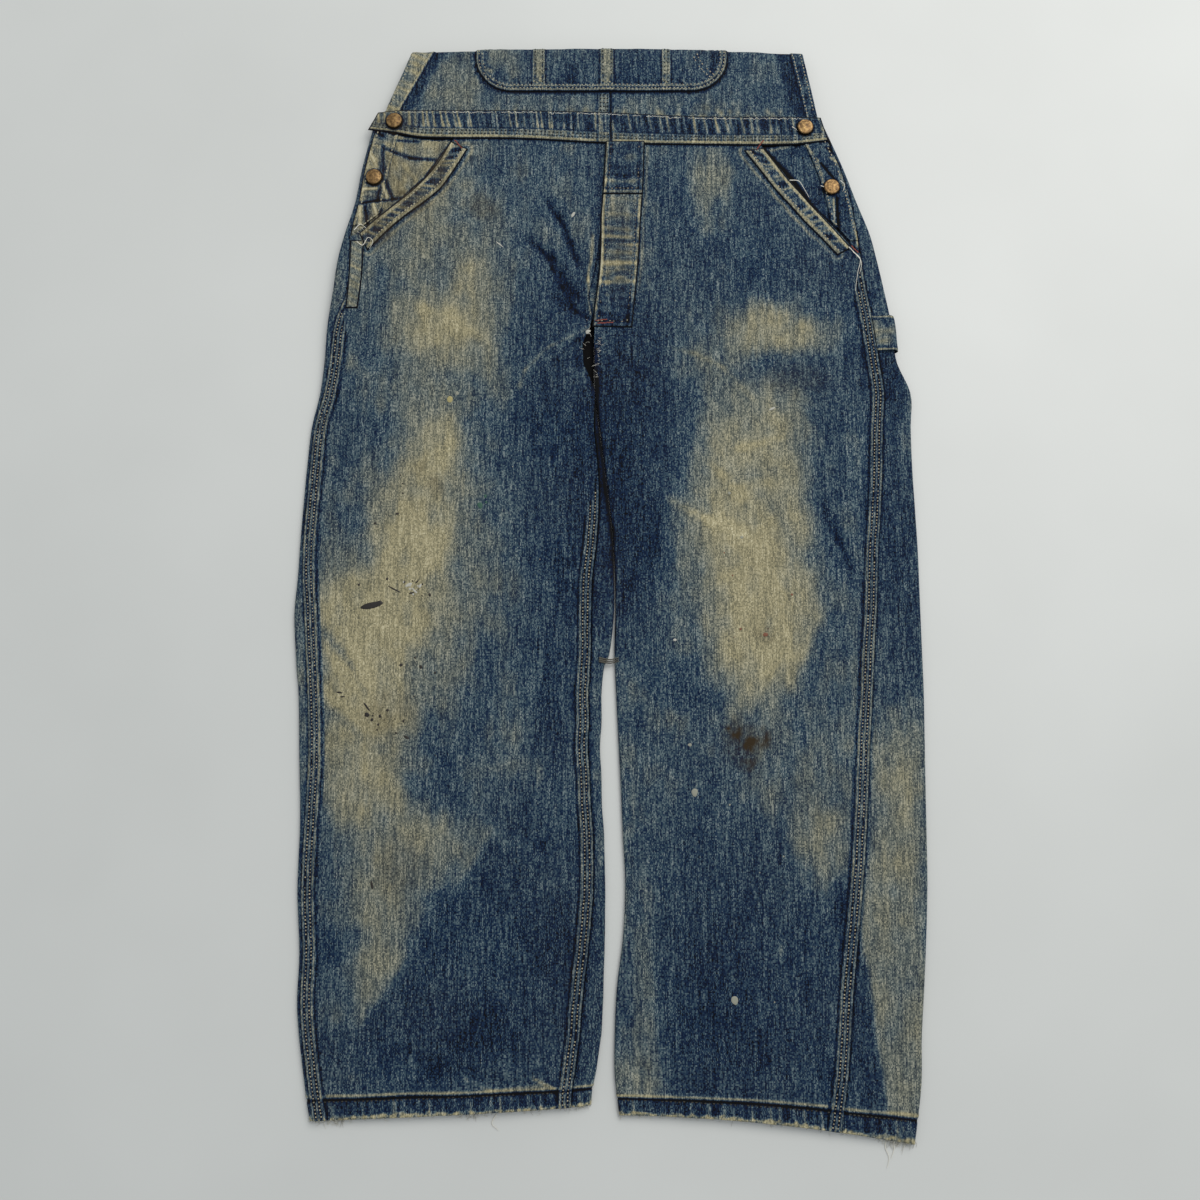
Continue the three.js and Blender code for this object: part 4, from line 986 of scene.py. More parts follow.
def aged_bronze():
    n = Nodes("aged_bronze")
    stops = ((0.3, srgb(62, 46, 30)), (0.5, srgb(122, 94, 58)), (0.72, srgb(166, 136, 88)))
    n.shade(base_color=n.ramp(n.noise((420, 420, 420), 5.0), stops), metallic=0.7)
    n.shade(roughness=n.math("MULTIPLY_ADD", n.noise((600, 600, 600), 3.0), 0.3, 0.28))
    n.bump(n.noise((900, 900, 900), 4.0), 0.25, 0.0003)
    return n.material


def floor_paint():
    n = Nodes("floor_paint")
    tone = n.ramp(n.noise((3, 3, 3), 3.0), ((0.3, srgb(203, 204, 200)), (0.7, srgb(209, 210, 206))))
    n.shade(base_color=tone, roughness=0.45)
    return n.material


DENIM = denim()
SEWING_THREAD = thread("sewing_thread", srgb(172, 164, 138), srgb(84, 82, 74))
DARK_THREAD = thread("dark_thread", srgb(62, 60, 52), srgb(16, 18, 22))
WHITE_THREAD = thread("white_thread", srgb(224, 220, 206), srgb(140, 140, 134))
RED_THREAD = thread("red_thread", srgb(132, 68, 56), srgb(70, 44, 42))
BRONZE = aged_bronze()


# Legs

# Rows from the hem up: close over the hem, then as counted up to the ankle, the crotch and the waist
FRONT_ROWS = (20, 112, 160)
BACK_ROWS = (10, 60, 40)
HEM_CLOSE = 20
HEM_ROWS = np.arange(0, HEM_CLOSE, 0.9)
ANKLE = 62
CROTCH_ROW_Y = 150
FRONT_EDGE = 13.5  # close columns at the seams
INNER_CLOSE = 70  # closer columns along the right inner edge
ROLL_CLOSE, ROLL_BEFORE = 8, 60  # and where the left panel rolls under
BACK_CLOSE = 6  # and round both edges of a back panel


def leg_rows(leg, counts):
    knots = (leg.hem + HEM_CLOSE, leg.hem + ANKLE, CROTCH_ROW_Y, PANEL_TOP_Y)
    parts = [np.linspace(a, b, n, endpoint=False) for a, b, n in zip(knots, knots[1:], counts)]
    return np.concatenate([leg.hem + HEM_ROWS, *parts, [PANEL_TOP_Y]])[:, None]


def panel_wash(x, y, out):
    return np.where(out[..., 2] > -0.2, top_wash(x, y), under_wash(x, y))


def finish_panel(piece, node, y, widths):
    dress(piece, DENIM, nodes=[node])
    area = np.trapz(widths[:, 0], y[:, 0])
    declare(area)


def front_leg(side):
    leg = LEGS[side]
    y = leg_rows(leg, FRONT_ROWS)
    s, start, end = front_span(leg, y)
    if side == "right":
        q = graded([start, start + FRONT_EDGE, end - INNER_CLOSE, end - FRONT_EDGE, end], GRIDS.right_front)
    else:
        turn = np.minimum(s.half - ROLL_CLOSE, end - 6)
        beyond = np.minimum(s.half + ROLL_CLOSE, end - 2)
        q = graded([start, start + FRONT_EDGE, turn - ROLL_BEFORE, turn, beyond, end], GRIDS.left_front)
    points, out, sewn = front_points(leg, y, q)
    x, py = points[..., 0], points[..., 1]
    piece = shell(f"{side}_front_cloth", points, out, settle(panel_wash(x, py, out), sewn))
    finish_panel(piece, f"front_leg_{side}", y, end - start)


def back_leg(side):
    leg = LEGS[side]
    y = leg_rows(leg, BACK_ROWS)
    s = section(leg, y)
    start = -(s.half + length_from_inner(s, leg.rows.smooth("inseam", y))) + GAP
    end = length_from_outer(s, leg.rows.smooth("outseam", y)) - GAP
    inner_from = np.maximum(start + 1, -s.half - BACK_CLOSE)
    inner_to = np.maximum(start + 2, -s.half + BACK_CLOSE)
    outer_from, outer_to = -BACK_CLOSE + 0 * s.half, np.minimum(BACK_CLOSE, end - 1)
    q = graded([start, inner_from, inner_to, outer_from, outer_to, end], GRIDS.back)
    points, out = ring(leg, y, q)
    x, py = points[..., 0], points[..., 1]
    below = smoothstep(-out[..., 2], 0.3, 0.9)
    inside = smoothstep(np.minimum(np.abs(q), np.abs(np.abs(q) - s.half)), 8, 40)
    relief = below * inside * (0.35 + layers(x, py, UNDER_SLACK))
    lift, sewn = hem_form(leg, y, x)
    points = points + out * ((1 - below) * lift - np.maximum(relief, 0))[..., None]
    # The shaded gap beside the felled edges
    wash = panel_wash(x, py, out) - 0.4 * bell(end - q, 1.6) - 0.4 * bell(q - start, 1.6)
    piece = shell(f"{side}_back_cloth", points, out, settle(wash, sewn))
    finish_panel(piece, f"back_leg_{side}", y, end - start)


# Pieces that lie on the top layer

# A rolled rim: how far each ring of points lies beyond the last one
ROLL_REACH = (0.3, 0.7, 1.0)
ROLL_DROP = 0.3  # of the thickness, at each ring
LEAST_CUT = 10.5  # shortest side of a cut, in the bound on its area


def plan_edge(x, y):
    return np.stack([x, y], -1)


def between(first, second, columns):
    """A plan grid from one edge to the other; each edge is rows of x and y."""
    t = np.linspace(0, 1, columns)[None, :, None]
    return lerp(first[:, None, :], second[:, None, :], t)


def lay(plan, lift):
    x, y = plan[..., 0], plan[..., 1]
    return np.stack([x, y, surface(x, y) + lift], -1)


def plan_size(plan):
    """Width, length and area of a plan grid."""
    across = np.linalg.norm(plan[:, -1] - plan[:, 0], axis=-1)
    middle = plan[:, plan.shape[1] // 2]
    along = np.sum(np.linalg.norm(np.diff(middle, axis=0), axis=-1))
    corner = np.cross(np.diff(plan, axis=1)[:-1], np.diff(plan, axis=0)[:, :-1])
    return float(across.max()), float(along), float(np.abs(corner).sum())


def grow(plan, reach):
    """A plan grid with one more ring of points round it."""
    for axis in (0, 1):
        rows = np.moveaxis(plan, axis, 0)
        before = rows[:1] + unit(rows[:1] - rows[1:2]) * reach
        after = rows[-1:] + unit(rows[-1:] - rows[-2:-1]) * reach
        plan = np.moveaxis(np.concatenate([before, rows, after]), 0, axis)
    return plan


def overlay(name, plan, lift, wash, nodes, thickness=CLOTH, rolled=True):
    width, length, area = plan_size(plan)
    lift = np.broadcast_to(lift, plan.shape[:2])
    wash = np.broadcast_to(wash, plan.shape[:2])
    wall = np.full(plan.shape[:2], float(thickness))
    for reach in ROLL_REACH if rolled else ():
        plan = grow(plan, reach)
        lift, wash, wall = (np.pad(values, 1, mode="edge") for values in (lift, wash, wall))
        rim = np.ones(lift.shape, bool)
        rim[1:-1, 1:-1] = False
        lift = lift - rim * ROLL_DROP * thickness
        wall = wall - rim * ROLL_DROP * thickness
        # The first ring is a paler edge; the rings beyond it are painted shade under the rolled rim.
        wash = np.where(rim, wash + 0.12 if reach == ROLL_REACH[0] else CREVICE, wash)
    points = lay(plan, lift)
    piece = shell(name, points, UP, wash, points - wall[..., None] * UP)
    dress(piece, DENIM, nodes=nodes)
    width, length = max(width, LEAST_CUT), max(length, LEAST_CUT)
    declare(min(area, width * length))
    return piece


def edge_distance(plan):
    """How far each point is from the two long edges."""
    width = np.linalg.norm(plan[:, -1] - plan[:, 0], axis=-1)[:, None]
    t = np.linspace(0, 1, plan.shape[1])[None, :]
    return width * t, width * (1 - t)


def band_edges(x):
    t = (x - BAND.at[0]) / (BAND.at[-1] - BAND.at[0])
    slant = lerp(BAND_END_SLANT.right, BAND_END_SLANT.left, t) * (2 * np.abs(t - 0.5)) ** 6
    return plan_edge(x, BAND.smooth("bottom", x)), plan_edge(x + slant, BAND.smooth("top", x))


# Felled centre seam of the bib and band
CENTRE_STRIP = SimpleNamespace(right=-8.5, left=2.5, rows=(-6.6, -3, 0.6))


def centre_strip(x, y):
    """Lift of the centre seam and its wash, with painted shade in the needle pits of its rows and beside its
    edges.
    """
    body = smoothstep(x, CENTRE_STRIP.right - 0.6, CENTRE_STRIP.right + 0.6)
    body = body * (1 - smoothstep(x, CENTRE_STRIP.left - 0.6, CENTRE_STRIP.left + 0.6))
    rows = sum(bell(x - row, 0.8) for row in CENTRE_STRIP.rows)
    dots = puckers(y, x, 35, 3.8, 0.3, 0.0)
    sewn = [(body, 0.6 - 0.5 * rows * dots), (bell(x - CENTRE_STRIP.left - 1.3, 1.1), CREVICE - 0.2),
            (0.6 * bell(x - CENTRE_STRIP.right + 1.2, 0.9), CREVICE)]
    return body * (0.4 - 0.3 * rows), sewn


BAND_ROWS = (0.11, 0.23)  # shares of its height where the waistband is stitched
BAND_STRIP = 0.33  # share of its height that is sewn down
BAND_PITCH = SimpleNamespace(right=6.5, left=9.0, change=(-80, 20))  # of its puckers
BAND_TAN = (130, 215)  # distances from the middle over which its right end turns tan


def band_form(x, t):
    """Lift of the waistband and its wash, by the share of its height."""
    across = BAND_HEIGHT * t
    above = smoothstep(t, BAND_STRIP - 0.04, BAND_STRIP + 0.04)
    width = lerp(0.3, 0.15, smoothstep(t, 0.35, 0.95))
    pitch = lerp(BAND_PITCH.right, BAND_PITCH.left, smoothstep(x, *BAND_PITCH.change))
    ridge = puckers(x, across, 61, pitch, width, 0.14)
    dash = puckers(x, across, 62, 3.8, 0.3, 0.0)
    rows = sum(bell(t - row, 0.045) for row in BAND_ROWS)
    strip, sewn = centre_strip(x, across)
    lift = GAP + BAND_WALL + above * (0.65 * ridge - 0.2) - 0.3 * rows + strip
    tanned = smoothstep(-x, *BAND_TAN)
    wash = 0.06 + 0.78 * ridge + 0.34 * tanned + 0.08 * smoothstep(-x, 0, 120)
    # Dark dashes along the stitch rows and the dark line along the top of the sewn strip are painted shade.
    foot = 0.74 + 0.06 * tanned - 0.55 * rows * (0.2 + 0.8 * dash) + 0.16 * bell(t - 0.02, 0.035)
    wash = lerp(foot, wash, above) - 0.45 * bell(t - BAND_STRIP, 0.03) + 0.2 * bell(t - 0.97, 0.03)
    return lift, settle(wash + 0.12 * noise(x, across, 24, 12, 63), sewn)


def waistband():
    rows, columns = GRIDS.waistband
    plan = between(*band_edges(np.linspace(BAND.at[0], BAND.at[-1], rows)), columns)
    lift, wash = band_form(plan[..., 0], np.linspace(0, 1, columns)[None, :])
    wash = lerp(wash, CREVICE, button_shade(plan[..., 0], plan[..., 1]))
    overlay("waistband_cloth", plan, lift, wash, ["waistband"], BAND_WALL)


# Wash of the fly and its tab down their length, and their cross creases
# Their dips at 282, 318 and 389 are painted shade in the deepest cross creases.
FLY_SHADE = Table("at level", [
    [231, 0.2], [262, 0.3], [272, 0.38], [277, 0.6], [282, 0.4], [287, 0.62], [296, 0.68], [314, 0.62],
    [318, 0.36], [323, 0.6], [345, 0.6], [369, 0.52],
])
TAB_SHADE = Table("at level", [
    [370, 0.4], [377, 0.3], [383, 0.44], [389, 0.16], [400, 0.26], [407, 0.4], [412, 0.2], [424, 0.42],
])
FLY_CREASES = Table("at height", [
    [410, 0.4], [398, -0.6], [388, -1.1], [381, 0.8], [362, 0.6], [346, 0.6], [337, -0.5], [323, 0.7],
    [318, -1.1], [296, 0.6], [287, 0.8], [282, -0.9], [277, 0.8], [268, 0.5], [252, 0.6], [244, -0.6],
])


FLY_RISE = 0.45  # share of the crease heights that the cloth takes
FLY_PUCKER_TOP = (330, 350)  # its puckers end between these heights


def fly_plan(foot, rows, columns):
    y = np.linspace(FLY.at[-1], foot, rows)
    return between(plan_edge(FLY.smooth("right", y), y), plan_edge(FLY.smooth("left", y), y), columns)


def fly_bend(x, y):
    """Heights along the fly, bent as its creases are."""
    return y + 2.0 * noise(x, y, 14, 40, 71)


def fly_relief(x, y):
    """Cross creases and the swell between them."""
    bend = fly_bend(x, y)
    rows = zip(FLY_CREASES.at, FLY_CREASES.columns["height"])
    return sum(height * bell(bend - at, 2.0) for at, height in rows)


def fly_layer(name, node, foot, grid, shade, lift):
    plan = fly_plan(foot, *grid)
    x, y = plan[..., 0], plan[..., 1]
    relief = fly_relief(x, y)
    from_right, from_left = edge_distance(plan)
    # The wash follows the cross creases, paler on their crests and darker in their troughs, partly wear and
    # partly painted shade.
    wash = shade.straight("level", fly_bend(x, y)) + 0.2 * relief
    wash = wash + 0.4 * (puckers(y, x, 76, 10, 0.26, 0.1) - 0.35) * (1 - smoothstep(y, *FLY_PUCKER_TOP))
    wash = wash + 0.16 * noise(x, y, 5, 24, 72) + 0.5 * bell(from_right, 1.6) + 0.2 * bell(from_left, 1.4)
    # The dark lines inside both edges and just above the foot are painted shade in the stitched grooves.
    wash = wash - 0.3 * bell(from_right - 3.4, 1.0) - 0.4 * bell(from_left - 3.2, 1.2)
    wash = wash + 0.25 * bell(y - foot - 1, 1.6) - 0.4 * bell(y - foot - 4, 1.4)
    overlay(name, plan, lift + FLY_RISE * relief, wash, [node])


def fly():
    fly_layer("fly_cloth", "fly_placket", FLY.at[0], GRIDS.fly, FLY_SHADE, PLY)
    fly_layer("fly_tab_cloth", "fly_tab", FLY_TAB_FOOT_Y, GRIDS.fly_tab, TAB_SHADE, 2 * PLY)


def fly_underlap():
    rows, columns = GRIDS.underlap
    y = np.linspace(UNDERLAP.head, UNDERLAP.foot, rows)
    centre = RIGHT_LEG.rows.smooth("inner", y)
    plan = between(plan_edge(centre - UNDERLAP.right, y), plan_edge(centre + UNDERLAP.left, y), columns)
    x, py = plan[..., 0], plan[..., 1]
    wash = 0.3 + 0.25 * puckers(py, x, 75, 6, 0.3, 0.2) + 0.16 * noise(x, py, 2.6, 30, 74)
    # Painted shade along the edge of the fly and along the edge of the gaping panel.
    edge = centre[:, None] - GAPE.straight("width", py)
    wash = lerp(wash, CREVICE, np.maximum(bell(x - centre[:, None] + 0.5, 1.4), 0.7 * bell(x - edge, 1.2)))
    overlay("underlap_cloth", plan, -UNDERLAP.depth, wash, ["fly_underlap"],
            rolled=False)


# Hip openings

FACING_WASH = {"right": 0.77, "left": 0.28}
SIDE_BAND_WASH = {"right": 0.68, "left": 0.34}
WELT_WASH = {"right": 0.76, "left": 0.66}
MOUTH_GAP = {"right": 3.0, "left": 9.0}  # width of the shaded gap under a pocket mouth
MOUTH_GAP_Y, MOUTH_GAP_REACH = 386, 20  # where it is widest


def facing_form(side, x, y):
    """Lift of the cloth in a hip opening and its wash, with painted shade under the waistband and round the
    buttons.
    """
    relief = layers(x, y, FACING_SLACK)
    lines = crease_height(HIP_LINES, x, y)
    # Its creases and pleats are paler on their crests and darker in their troughs, partly wear and partly
    # painted shade.
    wash = FACING_WASH[side] + 0.4 * relief + 0.1 * noise(x, y, 4, 20, 83) + 0.75 * lines
    below_band = BAND.smooth("bottom", x) - y
    ragged = 3.2 + 1.6 * noise(x, y, 6, 40, 84)
    under_band = 1 - smoothstep(below_band, ragged - 1, ragged + 0.6)
    wash = lerp(wash, CREVICE, np.maximum(button_shade(x, y), under_band))
    return 0.3 * relief + 0.55 * lines, wash


def pocket_facing(side):
    leg = LEGS[side]
    rows, columns = GRIDS.facing
    y = np.linspace(PANEL_TOP_Y, leg.mouth.at[0] - FACING_BELOW, rows)
    outer = leg.rows.smooth("outer", y)
    edge = leg.rows.smooth("outseam", y) + GAP
    mouth = leg.mouth.straight("reach", y)
    first = plan_edge(outer + leg.inward * edge, y)
    plan = between(first, plan_edge(outer + leg.inward * (mouth + FACING_UNDER), y), columns)
    x, py = plan[..., 0], plan[..., 1]
    form, wash = facing_form(side, x, py)
    from_mouth = mouth[:, None] - np.abs(x - outer[:, None])
    gap = MOUTH_GAP[side] * (0.35 + 0.65 * bell(py - MOUTH_GAP_Y, MOUTH_GAP_REACH))
    wash = lerp(wash, CREVICE, 1 - smoothstep(from_mouth, 0.6 * gap, gap + 2))
    lift = np.minimum(-PLY + form, -PLY + 1.0)
    overlay(f"{side}_facing_cloth", plan, lift, wash, [f"pocket_facing_{side}"],
            rolled=False)


def welt_edges(side, count):
    rows = WELTS[side]
    at = np.linspace(0, rows.at[-1], count)
    edges = ("mouth", "panel")
    return [plan_edge(rows.smooth(f"{edge}_x", at), rows.smooth(f"{edge}_y", at)) for edge in edges]


def pocket_welt(side):
    rows, columns = GRIDS.welt
    plan = between(*welt_edges(side, rows), columns)
    along = np.linspace(0, WELT_LENGTH, rows)[:, None]
    from_mouth, from_panel = edge_distance(plan)
    ridge = puckers(along, from_mouth, 91, 8.5, 0.34, 0.7)
    middle = smoothstep(from_mouth, 1.5, 4) * smoothstep(from_panel, 1.5, 4)
    dull = 0.65 + 0.35 * noise(along, from_mouth, 9, 6, 92)
    wash = WELT_WASH[side] + 0.14 - 1.1 * middle * (1 - ridge) * dull
    wash = wash - 0.2 * bell(from_panel - 3.2, 0.9) + 0.15 * bell(from_mouth - 0.5, 1.2)
    overlay(f"{side}_welt_cloth", plan, PLY + 0.5 * middle * (ridge - 0.4), wash, [f"pocket_welt_{side}"])


def side_band_plan(side, rows, columns):
    leg = LEGS[side]
    y = np.linspace(PANEL_TOP_Y, SIDE_BAND_FOOT[side], rows)
    outer = leg.rows.smooth("outer", y)
    edge = leg.rows.smooth("outseam", y) + GAP
    width = np.minimum(SIDE_BAND_WIDTH, leg.mouth.straight("reach", y) - edge - 4)
    first = plan_edge(outer + leg.inward * edge, y)
    return between(first, plan_edge(outer + leg.inward * (edge + width), y), columns)


def side_band(side):
    plan = side_band_plan(side, *GRIDS.side_band)
    x, y = plan[..., 0], plan[..., 1]
    form, wash = facing_form(side, x, y)
    from_outer, from_inner = edge_distance(plan)
    ridge = puckers(y, from_outer, 101, 9, 0.25, 0.3)
    rims = bell(from_outer - 1, 1.2) + bell(from_inner - 1, 1.2)
    wash = wash + SIDE_BAND_WASH[side] - FACING_WASH[side] + 0.25 * rims + 0.25 * (ridge - 0.4)
    wash = wash - 0.4 * bell(from_inner + 0.2, 0.7)
    lift = np.minimum(form + 0.25 * ridge, 0.6) * smoothstep(np.minimum(from_outer, from_inner), 0, 3)
    overlay(f"{side}_side_band_cloth", plan, lift, wash, [f"side_band_{side}"],
            rolled=False)


def vent_facing():
    rows, columns = GRIDS.vent
    y = np.linspace(VENT.at[-1], VENT.at[0], rows)
    plan = between(plan_edge(VENT.smooth("outer", y), y), plan_edge(VENT.smooth("inner", y), y), columns)
    wash = 0.6 + 0.3 * puckers(plan[..., 1], plan[..., 0], 111, 7)
    overlay("vent_cloth", plan, PLY, wash, ["vent_facing_right"])


def hammer_loop():
    leg = LEFT_LEG
    y = np.linspace(LOOP.foot, LOOP.head, GRIDS.loop_rows)[:, None]
    s = section(leg, y)
    end = length_from_outer(s, leg.rows.smooth("outseam", y))
    q = graded([-LOOP.under + 0 * end, -LOOP.bend + 0 * end, LOOP.bend + 0 * end, end], GRIDS.loop_columns)
    points, out = ring(leg, y, q)
    slack = LOOP.slack * bell(q, LOOP.slack_reach)
    from_edge = np.minimum(y - LOOP.foot, LOOP.head - y)
    ridge = puckers(y, q, 123, 7, 0.3, 0.4) * smoothstep(end - q, 10, 0)
    relief = 0.3 * noise(q, y, 7, 9, 122) + 0.25 * ridge
    points = points + out * (PLY + slack + relief - 0.3 * bell(from_edge, 1.5))[..., None]
    wash = 0.46 + 0.3 * bell(from_edge - 1, 1.4) - 0.35 * bell(from_edge - 3.4, 1.0) + 0.5 * relief
    wash = wash + 0.14 * noise(q, y, 12, 5, 121) - 0.5 * bell(from_edge, 0.5)
    piece = shell("hammer_loop_cloth", points, out, wash)
    dress(piece, DENIM, nodes=["hammer_loop"])
    declare()


# Bib

BIB_TOP_Z = float(surface(np.array(0.0), np.array(float(PANEL_TOP_Y))))
BIB_UNDER_Z = PLY
FOLD_RADIUS = (BIB_TOP_Z - BIB_UNDER_Z) / 2
# Hems down the ends of the bib: width at the waist and at the fold, wash of the hem and of the cloth
# beside it, and how far that cloth reaches
BIB_HEMS = {
    "right": SimpleNamespace(low=12, high=22, level=0.7, beside=0.05, reach=16),
    "left": SimpleNamespace(low=11, high=12, level=0.26, beside=0.0, reach=22),
}


BIB_HEM_FROM = (16, 24)  # lengths over which the hems rise, above the waistband
BIB_CLEAR = (-1, 6)  # distances above the waistband over which the relief begins
GATHERS = SimpleNamespace(middle=8, reach=13)  # lengths of the cloth gathered above the waistband


def bib_points(x, length, lift=0.0):
    """Points and outward directions of the bib, by the length of its cloth from the waist over the fold."""
    fold_y = FOLD_Y - FOLD_SAG * ((x - FOLD_MIDDLE_X) / FOLD_HALF) ** 2 + 0.5 * noise(x, 0 * x, 17, 17, 130)
    straight = fold_y - FOLD_RADIUS - BIB_FOOT_Y
    angle = np.clip((length - straight) / FOLD_RADIUS, 0, math.pi)
    beyond = np.maximum(length - straight - math.pi * FOLD_RADIUS, 0)
    reach = FOLD_RADIUS + lift
    y = BIB_FOOT_Y + np.minimum(length, straight) + reach * np.sin(angle) - beyond
    z = BIB_UNDER_Z + FOLD_RADIUS + reach * np.cos(angle)
    out = np.stack([0 * angle, np.sin(angle), np.cos(angle)], -1)
    return np.stack([x + 0 * y, y, z], -1), out


def underneath(x, length):
    """How far the bib has turned to its underside, from 0 to 1."""
    _, out = bib_points(x, length)
    return smoothstep(-out[..., 2], 0.2, 0.8)


def gathers(x, length):
    return puckers(x, length, 131, 8.5, 0.2, -0.25) * bell(length - GATHERS.middle, GATHERS.reach)


def bib_relief(x, length):
    relief = layers(x, length, BIB_SLACK) + 0.5 * gathers(x, length) + centre_strip(x, length)[0]
    above_band = BIB_FOOT_Y + length - BAND.smooth("top", x)
    return relief * smoothstep(above_band, *BIB_CLEAR)


def bib_lift(x, length):
    """Relief of the bib, flattened underneath."""
    below = underneath(x, length)
    return bib_relief(x, length) * (1 - below) - 0.2 * below


def bib_hem_width(side, length):
    hem = BIB_HEMS[side]
    return lerp(hem.low, hem.high, np.clip(length / BIB_SHOULDER, 0, 1))


def bib_form(side, x, length):
    """Lift of one half of the bib with its hem and centre seam, flattened underneath, and its wash."""
    hem = BIB_HEMS[side]
    from_edge = np.abs(x - BIB_EDGES.straight(side, length))
    wide = bib_hem_width(side, length)
    body = 1 - smoothstep(from_edge, wide - 0.8, wide + 0.6)
    ridge = puckers(length, from_edge, 141, 8, 0.3, 0.3)
    below = underneath(x, length)
    hemmed = body * (0.6 + 0.3 * ridge) * (1 - below) * smoothstep(length, *BIB_HEM_FROM)
    lift = bib_lift(x, length) + hemmed
    points, out = bib_points(x, length, lift)
    wash = wear(x, points[..., 1], BIB_PATCHES, (), 0.43) + 0.1 * bib_relief(x, length)
    wash = wash + 0.4 * gathers(x, length)
    reach = hem.reach + 4 * noise(x, length, 9, 14, 142)
    beside_hem = 1 - smoothstep(from_edge - wide, 0.35 * hem.reach, reach)
    wash = wash + 0.9 * beside_hem * (1 - below) * (hem.beside - wash)
    wash = wash + body * (hem.level + 0.3 * (ridge - 0.4) + 0.1 * noise(x, length, 7, 9, 143) - wash)
    # A pale line inside the edge of the hem, and painted shade just outside it.
    wash = wash + 0.2 * bell(from_edge - wide + 1.6, 1.2) - 0.3 * bell(from_edge - wide - 0.8, 0.8)
    wash = settle(wash, centre_strip(x, length)[1])
    # Painted shade round the bib pocket: soft within a few millimetres, near black beside its edge.
    outside = -pocket_inset(x, length)
    wash = lerp(wash, 0.1, 0.5 * (1 - smoothstep(outside, 1, 6)))
    return points, out, lerp(wash, CREVICE, (1 - below) * bell(outside - 1.6, 1.8))


BIB_CLOSE_LENGTH = 110  # rows lie close up to the fold
BIB_CLOSE_SHARES = (0.13, 0.95)  # columns lie close before and after these shares of the width


def stretches(knots, counts):
    """Numbers through the knots, with that many from each knot to the next."""
    parts = [np.linspace(a, b, n)[:-1] for a, b, n in zip(knots, knots[1:], counts)]
    return np.concatenate([*parts, knots[-1:]])


def bib_half(side):
    length = stretches((0, BIB_CLOSE_LENGTH, BIB_LENGTH), GRIDS.bib_rows)[:, None]
    edge = BIB_EDGES.straight(side, length)
    seam = BIB_SEAM_X + (-GAP if side == "right" else GAP) / 2
    t = stretches((0, *BIB_CLOSE_SHARES, 1), GRIDS.bib_columns)
    points, out, wash = bib_form(side, lerp(edge, seam, t[None, :]), length)
    piece = shell(f"bib_{side}_cloth", points, out, wash, inside=BIB_INSIDE_WASH)
    dress(piece, DENIM, nodes=[f"bib_{side}"])
    widths = np.abs(seam - edge)[:, 0]
    area = np.trapz(widths, length[:, 0])
    declare(area)


POCKET_ROWS = (2.4, 6.2)  # distances of its stitch rows from its edge
POCKET_RIM = 1.5  # reach of its rolled edge
POCKET_CLOSE_RISE, POCKET_ROW_STEP = 11, 0.9  # its lowest rows lie close
POCKET_FADE = SimpleNamespace(right=0.5, left=0.34, change=(-90, -40))  # wash
POCKET_WORN_LINE = SimpleNamespace(x=103, start=(58, 64))  # a pale line down its left compartment


def pocket_foot(x, grown=0.0):
    """Length along the bib where the pocket starts."""
    into = np.maximum(np.maximum(POCKET.right + POCKET.corner - x, x - POCKET.left + POCKET.corner), 0)
    corner = POCKET.corner + grown
    return POCKET.bottom + POCKET.corner - np.sqrt(np.maximum(corner**2 - into**2, 0))


def pocket_inset(x, length):
    """How far inside the outline of the bib pocket."""
    dx = np.maximum(POCKET.right + POCKET.corner - x, x - POCKET.left + POCKET.corner)
    dy = POCKET.bottom + POCKET.corner - length
    return POCKET.corner - np.hypot(np.maximum(dx, 0), np.maximum(dy, 0))


